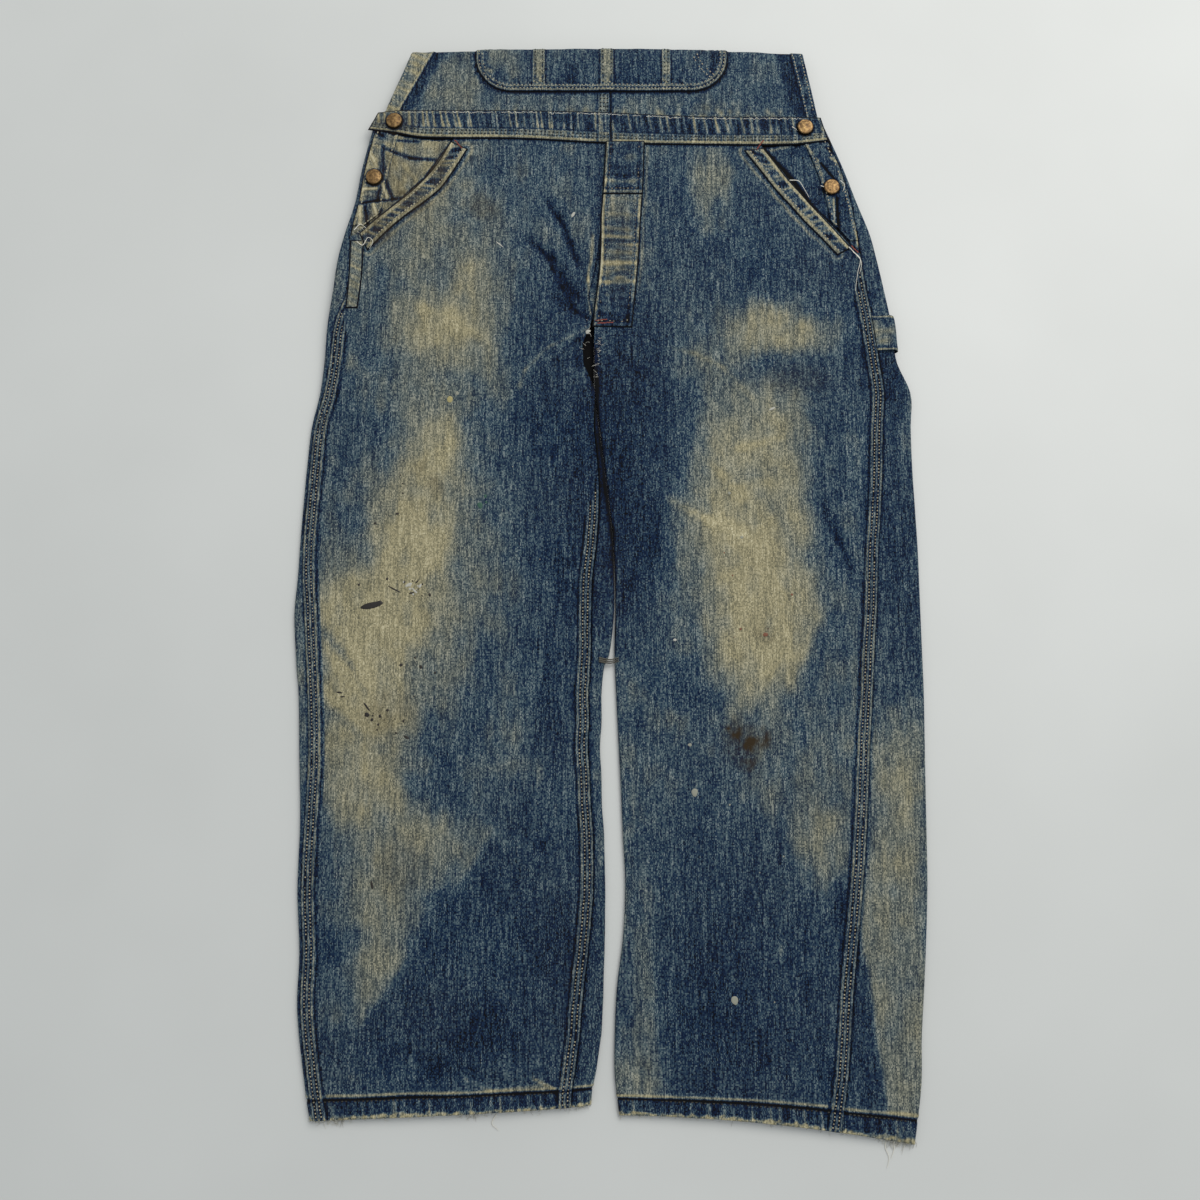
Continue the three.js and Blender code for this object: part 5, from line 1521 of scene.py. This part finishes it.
def pocket_form(x, length):
    """Lift of the bib pocket, flattened underneath, and its wash."""
    inset = pocket_inset(x, length)
    rows = sum(bell(inset - row, 0.8) for row in POCKET_ROWS)
    strips = np.zeros(np.broadcast(x, length).shape)
    for low, high in POCKET_DIVISIONS:
        strips = strips + smoothstep(x, low - 1.4, low - 0.2) * (1 - smoothstep(x, high + 0.2, high + 1.4))
        rows = rows + bell(x - low - 1.6, 0.8) + bell(x - high + 1.6, 0.8)
    rim = 1 - smoothstep(inset, 7, 9)
    ridge = puckers(x + length, inset, 152, 7, 0.3, 0.4)
    relief = bib_relief(x, length)
    own = PLY + 0.45 * strips - 0.3 * np.minimum(rows, 1) + 0.3 * rim * ridge
    own = lerp(own, PLY, underneath(x, length)) * lerp(0.2, 1.0, smoothstep(inset, -POCKET_RIM, 0.3))
    lift = bib_lift(x, length) + own
    wash = lerp(POCKET_FADE.right, POCKET_FADE.left, smoothstep(x, *POCKET_FADE.change))
    wash = wash + 0.14 * noise(x, length, 12, 26, 151) + 0.07 * relief
    # Dark dots along the stitch rows of the strips are painted shade in the needle pits, and the lines
    # beside the strips are painted shade.
    dots = puckers(length, x, 153, 3.8, 0.3, 0.0)
    wash = lerp(wash, 0.7 - 0.65 * np.minimum(rows, 1) * dots, strips)
    for edge in np.ravel(POCKET_DIVISIONS):
        wash = lerp(wash, CREVICE, 0.8 * bell(np.abs(x - edge) - 1.6, 1.0) * (strips < 0.5))
    bars = 0.5 * (ridge - 0.5) * (1 - smoothstep(inset, 9, 17))
    # A dark line of painted shade lies along the outer stitch row, between the pale rims.
    hem = 0.28 + 0.5 * bell(inset - 0.9, 1.0) + 0.42 * bell(inset - 4.8, 1.0) - 0.3 * bell(inset - 2.8, 0.8)
    wash = lerp(wash + bars, hem + 0.1 * strips, 1 - smoothstep(inset, 6, 7.4))
    wash = wash + 0.3 * bell(x - POCKET_WORN_LINE.x, 1.6) * smoothstep(length, *POCKET_WORN_LINE.start)
    # Painted shade under its rolled edge.
    return lift, lerp(wash, CREVICE, 1 - smoothstep(inset, -0.5, 0.1))


def bib_pocket():
    corner = (POCKET.corner + POCKET_RIM) * np.linspace(0, 1, GRIDS.pocket_corner) ** 1.6
    bend_from, bend_to = POCKET.right + POCKET.corner, POCKET.left - POCKET.corner
    middle = np.linspace(bend_from, bend_to, GRIDS.pocket_middle)[1:-1]
    right, left = POCKET.right - POCKET_RIM + corner, POCKET.left + POCKET_RIM - corner
    xs = np.concatenate([right, middle, left[::-1]])
    foot = pocket_foot(xs, POCKET_RIM)
    whole = POCKET.top - POCKET.bottom + POCKET_RIM
    close = np.arange(0, POCKET_CLOSE_RISE, POCKET_ROW_STEP)
    rise = np.concatenate([close, np.linspace(POCKET_CLOSE_RISE + 0.5, whole, GRIDS.pocket_rise)])
    length = lerp(foot[None, :], POCKET.top, rise[:, None] / rise[-1])
    lift, wash = pocket_form(xs[None, :], length)
    points, out = bib_points(xs[None, :], length, lift)
    wall = np.minimum(CLOTH, 0.8 * (lift - bib_lift(xs[None, :], length)))
    piece = shell("bib_pocket_cloth", points, out, wash, points - out * wall[..., None])
    dress(piece, DENIM, nodes=["bib_pocket"])
    width, height = POCKET.left - POCKET.right, POCKET.top - POCKET.bottom
    area = min(np.trapz(POCKET.top - pocket_foot(middle), middle) + POCKET.corner * height, width * height)
    declare(area)


def back_fold():
    """Upper back and straps inside the bib: one rounded body, layered at its edges."""
    y = np.linspace(BACK_FOLD.at[0], BACK_FOLD.at[-1], GRIDS.back_fold[0])
    t = np.linspace(0, 1, 8 * BACK_FOLD_LAYERS + 1)
    scallop = BACK_FOLD_BULGE * np.abs(np.sin(math.pi * BACK_FOLD_LAYERS * t))
    across = np.linspace(0, 1, GRIDS.back_fold[1])[1:-1]
    rings = []
    for at in y:
        names = ("right", "left", "bottom", "top")
        right, left, bottom, top = (BACK_FOLD.straight(name, at) for name in names)
        slack = 0.9 * noise(at + 0 * t, 9 * t, 30, 3, 161)
        up = lerp(bottom, top, t)
        outline = [np.stack([left + scallop + slack, up], -1),
                   np.stack([lerp(left, right, across), top + 0 * across], -1),
                   np.stack([right - scallop + slack, up[::-1]], -1),
                   np.stack([lerp(right, left, across), bottom + 0 * across], -1)]
        outline = np.concatenate(outline)
        rings.append(np.stack([outline[:, 0], at + 0 * outline[:, 0], outline[:, 1]], -1))
    rings = np.array(rings)
    count = rings.shape[1]
    index = np.arange(rings.shape[0] * count).reshape(rings.shape[:2])
    sides = round_quads(*rings.shape[:2])
    # The ends are closed by strips between the over and the under side.
    caps = []
    for row, turn in ((index[0], 1), (index[-1], -1)):
        for i in range(count // 2 - 1):
            caps.append([row[i], row[i + 1], row[-i - 2], row[-i - 1]][::turn])
    faces = np.concatenate([sides[:, ::-1], np.array(caps)])
    points = rings.reshape(-1, 3)
    piece = add_mesh("back_fold_cloth", points, faces)
    x, y, z = points.T
    set_attribute(piece, "wash", 0.4 + 0.12 * noise(x, y + 20 * z, 16, 30, 162))
    set_attribute(piece, "soil", np.full(len(points), 0.05))
    dress(piece, DENIM, nodes=["back_fold"])
    declare()


# Stitches and threads

class Joined:
    """Many small meshes of quads in one piece."""

    def __init__(self):
        self.points, self.faces, self.wash, self.count = [], [], [], 0

    def add(self, points, faces, wash):
        self.points.append(points)
        self.faces.append(faces + self.count)
        self.wash.append(np.broadcast_to(wash, len(points)))
        self.count += len(points)

    def make(self, name, material):
        piece = add_mesh(name, np.concatenate(self.points), np.concatenate(self.faces))
        set_attribute(piece, "wash", np.concatenate(self.wash))
        return dress(piece, material)


STEP = 1.2  # between the points of a stitched line
# Rings of a stitch: share of its length, width and height
STITCH_RINGS = np.array([
    [0.0, 0.2, -0.25], [0.22, 0.9, 0.8], [0.5, 1.0, 1.0], [0.78, 0.9, 0.8], [1.0, 0.2, -0.25],
])


def stitch_row(joined, points, out, rng, missing=0.06, stitch=STITCH, pale=FULL_TONE):
    """Stitches along a line of points on a surface."""
    steps = np.linalg.norm(np.diff(points, axis=0), axis=-1)
    run = np.concatenate([[0], np.cumsum(steps)])
    count = int(run[-1] / (stitch.length + stitch.gap))
    if count < 1:
        return
    start = np.arange(count) * (run[-1] / count) + rng.uniform(-0.25, 0.25, count)
    start = start[rng.random(count) > missing]
    t, wide, high = STITCH_RINGS.T
    at = np.clip(start[:, None] + stitch.length * t, 0, run[-1])
    line = np.stack([np.interp(at, run, points[:, k]) for k in range(3)], -1)
    up = unit(np.stack([np.interp(at, run, out[:, k]) for k in range(3)], -1))
    along = unit(line[:, -1:] - line[:, :1])
    side = unit(np.cross(up, along + 0 * up))
    line = line + side * rng.normal(0, 0.12, (len(start), 1, 1))
    across = side * (wide * stitch.width / 2)[:, None]
    top = up * (high * stitch.height)[:, None]
    base = up * (np.minimum(high, 0) * stitch.height)[:, None] - up * 0.1
    verts = np.stack([line - across + base, line + top, line + across + base], 2)
    index = np.arange(verts.shape[0] * verts.shape[1] * 3).reshape(-1, len(t), 3)
    a, b = index[:, :-1, :], index[:, 1:, :]
    faces = np.concatenate([
        np.stack([a[..., k], a[..., k + 1], b[..., k + 1], b[..., k]], -1).reshape(-1, 4) for k in (0, 1)
    ])
    wash = np.repeat(rng.uniform(*pale, len(start)), len(t) * 3)
    joined.add(verts.reshape(-1, 3), faces[:, ::-1], wash)


def strands(joined, paths, radius, wash, sides=3):
    """Thin threads along many paths of equal count, thinner at the far end."""
    along = unit(np.gradient(paths, axis=1))
    side = unit(np.cross(along, np.array([0.13, 0.07, 1.0])))
    up = np.cross(side, along)
    angle = 2 * math.pi * np.arange(sides) / sides
    ring_points = (
        side[:, :, None, :] * np.cos(angle)[:, None] + up[:, :, None, :] * np.sin(angle)[:, None]
    )
    taper = np.linspace(1, 0.35, paths.shape[1])[None, :, None, None]
    verts = paths[:, :, None, :] + radius * taper * ring_points
    index = np.arange(verts.shape[0] * verts.shape[1] * sides).reshape(verts.shape[:3])
    onward = np.roll(index, -1, axis=2)
    a, b, c, d = index[:, :-1], onward[:, :-1], onward[:, 1:], index[:, 1:]
    faces = np.stack([a, b, c, d], -1).reshape(-1, 4)
    joined.add(verts.reshape(-1, 3), faces, np.repeat(wash, paths.shape[1] * sides))


def curve_through(points, count):
    """A smooth line through a few plan points."""
    points = np.array(points, float)
    line = Table("at x y", np.column_stack([np.arange(len(points)), points]))
    at = np.linspace(0, len(points) - 1, count)
    return plan_edge(line.smooth("x", at), line.smooth("y", at))


def front_line(leg, y, edge, distance):
    """A line along a seam of a front panel, a distance from its outer or inner edge."""
    y = y[:, None]
    _, start, end = front_span(leg, y)
    q = start + distance if edge == "outer" else end - distance
    points, out, _ = front_points(leg, y, q)
    return points[:, 0], out[:, 0]


def plan_line(xy, lift):
    points = lay(np.asarray(xy, float), lift)
    return points, np.broadcast_to(UP, points.shape)


# Threads across the gap between the legs, and how far each lies from the line
THREAD_BRIDGE = ((-8, -98), (-4, -99), (2, -100), (7, -99), (11, -98))
BRIDGE_STRANDS = np.array([[[0, 1.2, 0]], [[0, -0.6, 0.5]], [[0, -2.2, 0]]])
BRIDGE_RADIUS = 1.0


def seam_stitches():
    joined = Joined()
    rng = np.random.default_rng(21)
    rows = [(leg, "outer", leg.seam_top - 6) for leg in LEGS.values()]
    for leg, edge, top in [*rows, (RIGHT_LEG, "inner", RIGHT_LEG.inseam_top - 4)]:
        for distance in SEAM_ROWS:
            y = np.arange(leg.hem + 2, top - distance / SEAM_WEDGE, STEP)
            stitch_row(joined, *front_line(leg, y, edge, distance), rng, 0.06, SEAM_STITCH, (0.1, 0.8))
    bridge = np.column_stack([curve_through(THREAD_BRIDGE, 14), np.full(14, LEG_HEIGHT + 0.6)])
    strands(joined, bridge[None] + BRIDGE_STRANDS, BRIDGE_RADIUS, np.full(len(BRIDGE_STRANDS), -0.5), 5)
    joined.make("seam_stitches", SEWING_THREAD)


HEM_ROW = 12.5  # height of the hem stitches


def hem_stitches():
    joined = Joined()
    rng = np.random.default_rng(22)
    for leg in LEGS.values():
        s, start, end = front_span(leg, np.array(leg.hem + HEM_ROW))
        q = np.arange(float(start) + 1, min(float(end), float(s.half) - 4), STEP)
        points, out, _ = front_points(leg, np.full(q.shape, leg.hem + HEM_ROW), q)
        stitch_row(joined, points, out, rng, 0.2)
    # On the left the back panel shows on top as well, up to the start of the front one
    q = np.arange(4, float(start) - 2, STEP)
    points, out = ring(LEFT_LEG, np.full(q.shape, LEFT_LEG.hem + HEM_ROW), q)
    stitch_row(joined, points, out, rng, 0.2)
    joined.make("hem_stitches", DARK_THREAD)


WELT_ROWS = (0.14, 0.8)  # shares of a welt's width where it is stitched
SIDE_BAND_PARTS = 20
SIDE_BAND_ROWS = (2, 17)  # of these parts across a side band, those that are stitched


def waist_stitches():
    joined = Joined()
    rng = np.random.default_rng(23)
    for side in LEGS:
        mouth, panel = welt_edges(side, 130)
        for share in WELT_ROWS:
            stitch_row(joined, *plan_line(lerp(mouth, panel, share), PLY + 0.05), rng, 0.15)
        plan = side_band_plan(side, 110, SIDE_BAND_PARTS)
        for column in SIDE_BAND_ROWS:
            stitch_row(joined, *plan_line(plan[:, column], 0.15), rng, 0.2)
    joined.make("waist_stitches", SEWING_THREAD)


def fly_stitches():
    joined = Joined()
    rng = np.random.default_rng(24)

    def row(x, y, lift, tone):
        line = plan_line(plan_edge(x, y), lift + FLY_RISE * fly_relief(x, y))
        stitch_row(joined, *line, rng, 0.3, STITCH, tone)

    plies = ((FLY.at[0] + 4, FLY_TAB_FOOT_Y - 2, PLY), (FLY_TAB_FOOT_Y + 4, FLY.at[-1] - 1, 2 * PLY))
    for foot, head, lift in plies:
        y = np.arange(foot, head, STEP)
        for share in (0.1, 0.9):
            row(lerp(FLY.smooth("right", y), FLY.smooth("left", y), share), y, lift, (-0.1, 0.3))
        x = np.arange(float(FLY.smooth("right", foot)) + 2, float(FLY.smooth("left", foot)) - 2, STEP)
        row(x, foot + 0 * x, lift, (0.0, 0.4))
    joined.make("fly_stitches", SEWING_THREAD)


POCKET_DIAGONAL = ((90, 78), (96, 66), (108, 53))  # a curved double row, by the length along the bib
DIAGONAL_OFFSET = 1.6
BIB_HEM_ROWS = (2.5, 1.6)  # distances of its stitch rows from the outer and the inner edge


def pocket_row(joined, x, length, rng, stitch=STITCH, pale=FULL_TONE):
    seen = underneath(x, length) < 0.05
    x, length = x[seen], length[seen]
    stitch_row(joined, *bib_points(x, length, pocket_form(x, length)[0]), rng, 0.06, stitch, pale)


def bib_stitches():
    joined = Joined()
    rng = np.random.default_rng(25)
    length = np.arange(2, BIB_LENGTH - 3, STEP)
    for side, inward in (("right", 1), ("left", -1)):
        edge = BIB_EDGES.straight(side, length)
        wide = bib_hem_width(side, length)
        for distance in (BIB_HEM_ROWS[0] + 0 * wide, wide - BIB_HEM_ROWS[1]):
            points, out, _ = bib_form(side, edge + inward * distance, length)
            stitch_row(joined, points, out, rng)
    diagonal = curve_through(POCKET_DIAGONAL, 30)
    for offset in (-DIAGONAL_OFFSET, DIAGONAL_OFFSET):
        pocket_row(joined, diagonal[:, 0] + offset, diagonal[:, 1] + offset, rng)
    bend = np.linspace(0, math.pi / 2, 60)
    low = POCKET.bottom + POCKET.corner
    side = np.arange(POCKET.top - 4, low + 1, -STEP)
    for inset in POCKET_ROWS:
        radius = POCKET.corner - inset
        right_x = POCKET.right + POCKET.corner - radius * np.cos(bend)
        left_x = POCKET.left - POCKET.corner + radius * np.cos(bend)
        turn = low - radius * np.sin(bend)
        middle = np.arange(right_x[-1] + 1, left_x[-1] - 1, STEP)
        x = np.concatenate([right_x[0] + 0 * side, right_x, middle, left_x[::-1], left_x[0] + 0 * side])
        run = np.concatenate([side, turn, turn[-1] + 0 * middle, turn[::-1], side[::-1]])
        pocket_row(joined, x, run, rng)
    joined.make("bib_stitches", SEWING_THREAD)


STRIP_INSET = 1.8  # of the stitch rows on the strips of the pocket


def strip_stitches():
    """Stitches on the pale strips of the waistband, the bib and its pocket, coloured dark as painted shade
    of their needle pits.
    """
    joined = Joined()
    rng = np.random.default_rng(29)
    x = np.arange(BAND.at[0] + 2, BAND.at[-1] - 2, STEP)
    bottom, top = band_edges(x)
    for share in BAND_ROWS:
        line = plan_line(lerp(bottom, top, share), band_form(x, share)[0] + 0.1)
        stitch_row(joined, *line, rng, 0.12, STRIP_STITCH, STRIP_TONE)
    part = np.arange(12, float(pocket_foot(np.array(BIB_SEAM_X))) - 1, STEP)
    for row in CENTRE_STRIP.rows:
        x = row + 0 * part
        line = bib_points(x, part, bib_relief(x, part) + 0.2)
        stitch_row(joined, *line, rng, 0.06, STRIP_STITCH, STRIP_TONE)
    along = np.arange(POCKET.bottom + 8, POCKET.top - 4, STEP)
    for low, high in POCKET_DIVISIONS:
        for x in (low + STRIP_INSET, high - STRIP_INSET):
            pocket_row(joined, x + 0 * along, along, rng, STRIP_STITCH, STRIP_TONE)
    joined.make("strip_stitches", DARK_THREAD)


# Bartacks: middle, half length, turn in degrees and the lift of what they hold
BARTACKS = named("x y half turn lift", [
    [154, 421, 6, 55, PLY + 1.2], [-150, 422, 6, -50, PLY + 1.2], [-6, 236, 6, 6, PLY],
    [-2, 233, 8, 4, PLY], [246, 310, 5, -50, PLY],
])


def bartacks():
    joined = Joined()
    rng = np.random.default_rng(26)
    for row in BARTACKS:
        t = np.linspace(-row.half, row.half, 20)
        turn = math.radians(row.turn)
        xy = np.stack([row.x + t * math.cos(turn), row.y + t * math.sin(turn)], -1)
        stitch_row(joined, *plan_line(xy, row.lift + 0.1), rng, 0, TACK_STITCH)
    joined.make("bartacks", RED_THREAD)


# Tufts along the hems: middle, half width, count and longest reach
TUFTS = named("leg x half count reach", [
    ["right", -244, 12, 34, 9], ["right", -121, 8, 30, 9], ["right", -20, 8, 16, 6],
    ["left", 250, 14, 30, 9], ["left", 262, 10, 14, 12], ["left", 40, 14, 16, 6],
])


# Threads of the fray: highest root, how far inside the hem it is, least height and radius
FRAY = SimpleNamespace(top=4.6, inside=1.2, least=0.35, radius=0.32)


def fray(joined, leg, q, reach, swing, rng):
    """Threads that hang from the hem of a leg and lie on the floor."""
    count = len(q)
    root, _ = ring(leg, np.full(count, float(leg.hem)), q)
    root[:, 2] = np.minimum(root[:, 2], FRAY.top) - 0.5
    t = np.linspace(0, 1, 5)
    heading = rng.normal(0, swing, (count, 1)) + rng.normal(0, 0.9, (count, 1)) * t
    x = root[:, :1] + reach[:, None] * t * np.sin(heading)
    y = root[:, 1:2] + FRAY.inside - (reach[:, None] + FRAY.inside) * t * np.cos(heading)
    z = np.maximum(root[:, 2:] * (1 - t) ** 1.5, FRAY.least)
    strands(joined, np.stack([x, y, z], -1), FRAY.radius, rng.uniform(0.1, 1.0, count))


FRINGE = 800  # threads along each hem


def hem_fray():
    """Worn threads along both hems."""
    joined = Joined()
    rng = np.random.default_rng(27)
    for leg in LEGS.values():
        half = float(section(leg, np.array(float(leg.hem))).half)
        q = rng.uniform(-0.15 * half, half, FRINGE)
        fray(joined, leg, q, np.minimum(rng.exponential(1.4, FRINGE) + 0.8, 7), 1.2, rng)
    for row in TUFTS:
        leg = LEGS[row.leg]
        x = rng.normal(row.x, row.half / 2, row.count)
        q = np.abs(x - float(leg.rows.smooth("outer", leg.hem)))
        fray(joined, leg, q, rng.uniform(2, row.reach, row.count), 0.5, rng)
    joined.make("hem_fray", WHITE_THREAD)


# Loose threads, by points of the plan
LOOSE_THREADS = (
    ((-249, 318), (-243, 314), (-238, 322), (-233, 318), (-236, 310)),
    ((-252, 330), (-246, 336), (-240, 332)),
    ((244, 307), (251, 299), (248, 285), (245, 266)),
    ((240, 312), (247, 304), (252, 296), (250, 284)),
    ((183, 383), (192, 382), (197, 374), (202, 364)),
    ((250, -528), (248, -536), (251, -545), (249, -554)),
    ((254, -526), (256, -536), (253, -546)),
    ((-100, -508), (-104, -516), (-98, -522)),
    ((187, 441), (190, 439), (192, 437)),
    ((214, 377), (217, 376), (219, 374)),
    ((234, 383), (238, 378), (236, 371)),
)
# Clusters of broken threads: middle, how many and half width
BROKEN_THREADS = ((-8, 208, 14, 4), (-10, 186, 8, 3), (-20, 219, 10, 4), (-248, 322, 14, 5))
BROKEN_RADIUS = 0.22
BROKEN_TONE = (0.2, 0.9)  # wash, from and to
LOOSE_RADIUS = 0.45
LOOSE_TONE = 0.9
# Worn white row along the top of the waistband: distances from its ends, pitch and length of its threads
TOP_ROW = SimpleNamespace(right=34, left=26, pitch=7.0, length=7.4, missing=0.15, share=0.94, radius=0.34)


def loose_threads():
    joined = Joined()
    rng = np.random.default_rng(28)
    for row in LOOSE_THREADS:
        xy = curve_through(row, 24)
        on_cloth = xy[:, 1] > RIGHT_LEG.hem
        z = np.where(on_cloth, surface(xy[:, 0], xy[:, 1]) + PLY + 0.6, 0.5)
        strands(joined, np.column_stack([xy, z])[None], LOOSE_RADIUS, np.array([LOOSE_TONE]), 5)
    # A worn white row along the top of the waistband
    start = np.arange(BAND.at[0] + TOP_ROW.right, BAND.at[-1] - TOP_ROW.left, TOP_ROW.pitch)
    start = start[rng.random(len(start)) > TOP_ROW.missing]
    x = start[:, None] + np.linspace(0, TOP_ROW.length, 7)
    _, top = band_edges(x.ravel())
    y = top[:, 1].reshape(x.shape) - 1.2 + rng.normal(0, 0.55, x.shape)
    lift, _ = band_form(x, TOP_ROW.share)
    paths = np.stack([x, y, surface(x, y) + lift + 0.2], -1)
    strands(joined, paths, TOP_ROW.radius, rng.uniform(*BROKEN_TONE, len(start)))
    for x, y, count, spread in BROKEN_THREADS:
        root = np.column_stack([x + rng.normal(0, spread / 2, count), y + rng.normal(0, 9, count)])
        heading = rng.uniform(-0.9, 0.9, count) + np.where(rng.random(count) > 0.5, 0, math.pi)
        t = np.linspace(0, 1, 5)
        reach = rng.uniform(1.5, 5, count)[:, None]
        bend = heading[:, None] + rng.normal(0, 0.5, (count, 1)) * t
        px = root[:, :1] + reach * t * np.cos(bend)
        py = root[:, 1:] + reach * t * np.sin(bend)
        z = surface(px, py) + 0.3 + rng.uniform(0, 1.2, (count, 1)) * t
        strands(joined, np.stack([px, py, z], -1), BROKEN_RADIUS, rng.uniform(*BROKEN_TONE, count))
    joined.make("loose_threads", WHITE_THREAD)


# Paint

BLOT_SIDES = 18
BLOT_PROFILE = ((1.0, -0.12), (0.86, 0.22), (0.45, 0.3), (0.02, 0.3))  # share of its size, and height


def blot(x, y, wide, long, turn, rng):
    """A low blob of paint on the cloth, with an uneven rim."""
    angle = 2 * math.pi * np.arange(BLOT_SIDES) / BLOT_SIDES
    rim = 1 + sum(rng.normal(0, 0.13 / k) * np.cos(k * angle + rng.uniform(0, 6.3)) for k in (2, 3, 4, 5))
    rings = []
    for share, height in BLOT_PROFILE:
        u, v = wide * share * rim * np.cos(angle), long * share * rim * np.sin(angle)
        c, s = math.cos(math.radians(turn)), math.sin(math.radians(turn))
        px, py = x + u * c - v * s, y + u * s + v * c
        rings.append(np.stack([px, py, surface(px, py) + height], -1))
    return np.concatenate(rings), round_quads(len(rings), BLOT_SIDES)


def paint_marks():
    rng = np.random.default_rng(29)
    joined = {name: Joined() for name in PAINT_COLOURS}
    for row in PAINT:
        points, faces = blot(row.x, row.y, row.wide, row.long, row.turn, rng)
        joined[row.colour].add(points, faces, 0.5)
    for row in SPECKS:
        for _ in range(row.count):
            x, y = rng.normal(row.x, row.wide / 2), rng.normal(row.y, row.long / 2)
            size = min(rng.exponential(0.5) + 0.4, 1.8)
            points, faces = blot(x, y, size, size * rng.uniform(0.6, 1.4), rng.uniform(0, 180), rng)
            joined[row.colour].add(points, faces, 0.5)
    for name, parts in joined.items():
        parts.make(f"paint_{name}", paint(f"{name}_paint", srgb(*PAINT_COLOURS[name])))


# Buttons

BUTTON_SIDES = 48


def button(row):
    around = 2 * math.pi * np.arange(8) / 8
    foot = surface(row.x + BUTTON_FOOT * np.cos(around), row.y + BUTTON_FOOT * np.sin(around))
    height = max(float(np.max(foot)), float(surface(np.array(row.x), np.array(row.y)))) + row.lift + GAP
    angle = 2 * math.pi * np.arange(BUTTON_SIDES) / BUTTON_SIDES
    rings = []
    for radius, up in BUTTON_PROFILE:
        radius = max(radius, 0.05)
        rings.append(np.stack([row.x + radius * np.cos(angle), row.y + radius * np.sin(angle),
                               np.full(BUTTON_SIDES, height + up)], -1))
    piece = add_mesh(f"{row.name}_metal", np.concatenate(rings), round_quads(len(rings), BUTTON_SIDES))
    dress(piece, BRONZE, [row.name])


# Stage

CAMERA_PLACE = (-0.0071, -0.2208, 1.137)
CAMERA_TILT = math.radians(9)
CAMERA_SENSOR = 36
CAMERA_LENS = 36
FLOOR_SIZE = 8.0
FLOOR_Z = -0.4  # in millimetres, just under the cloth
KEY_LIGHT = SimpleNamespace(place=(1.1, 1.5, 2.4), size=2.2, power=62, colour=(1.0, 0.985, 0.96))
SKY_COLOUR = (0.9, 0.95, 1.0, 1.0)
SKY_STRENGTH = 0.55


def camera():
    data = bpy.data.cameras.new("camera")
    data.sensor_width = CAMERA_SENSOR
    data.lens = CAMERA_LENS
    view = bpy.data.objects.new("camera", data)
    view.location = CAMERA_PLACE
    view.rotation_euler = (CAMERA_TILT, 0, 0)
    bpy.context.collection.objects.link(view)
    bpy.context.scene.camera = view


def floor():
    half = FLOOR_SIZE / 2 / MM
    corners = [(x * half, y * half, FLOOR_Z) for x, y in ((-1, -1), (1, -1), (1, 1), (-1, 1))]
    plane = add_mesh("floor", np.array(corners), np.array([[0, 1, 2, 3]]))
    plane.data.materials.append(floor_paint())


def lights():
    data = bpy.data.lights.new("key", "AREA")
    data.size = KEY_LIGHT.size
    data.energy = KEY_LIGHT.power
    data.color = KEY_LIGHT.colour
    lamp = bpy.data.objects.new("key", data)
    lamp.location = KEY_LIGHT.place
    direction = -lamp.location
    lamp.rotation_euler = direction.to_track_quat("-Z", "Y").to_euler()
    bpy.context.collection.objects.link(lamp)
    world = bpy.data.worlds.new("studio")
    world.use_nodes = True
    sky = world.node_tree.nodes["Background"].inputs
    sky["Color"].default_value = SKY_COLOUR
    sky["Strength"].default_value = SKY_STRENGTH
    bpy.context.scene.world = world
    bpy.context.scene.view_settings.view_transform = "Standard"


# Build

camera()
floor()
lights()
for side in LEGS:
    front_leg(side)
    back_leg(side)
    pocket_facing(side)
    pocket_welt(side)
    side_band(side)
    bib_half(side)
waistband()
bib_pocket()
fly()
fly_underlap()
vent_facing()
hammer_loop()
back_fold()
seam_stitches()
hem_stitches()
waist_stitches()
fly_stitches()
bib_stitches()
strip_stitches()
bartacks()
hem_fray()
loose_threads()
paint_marks()
for row in BUTTONS:
    button(row)
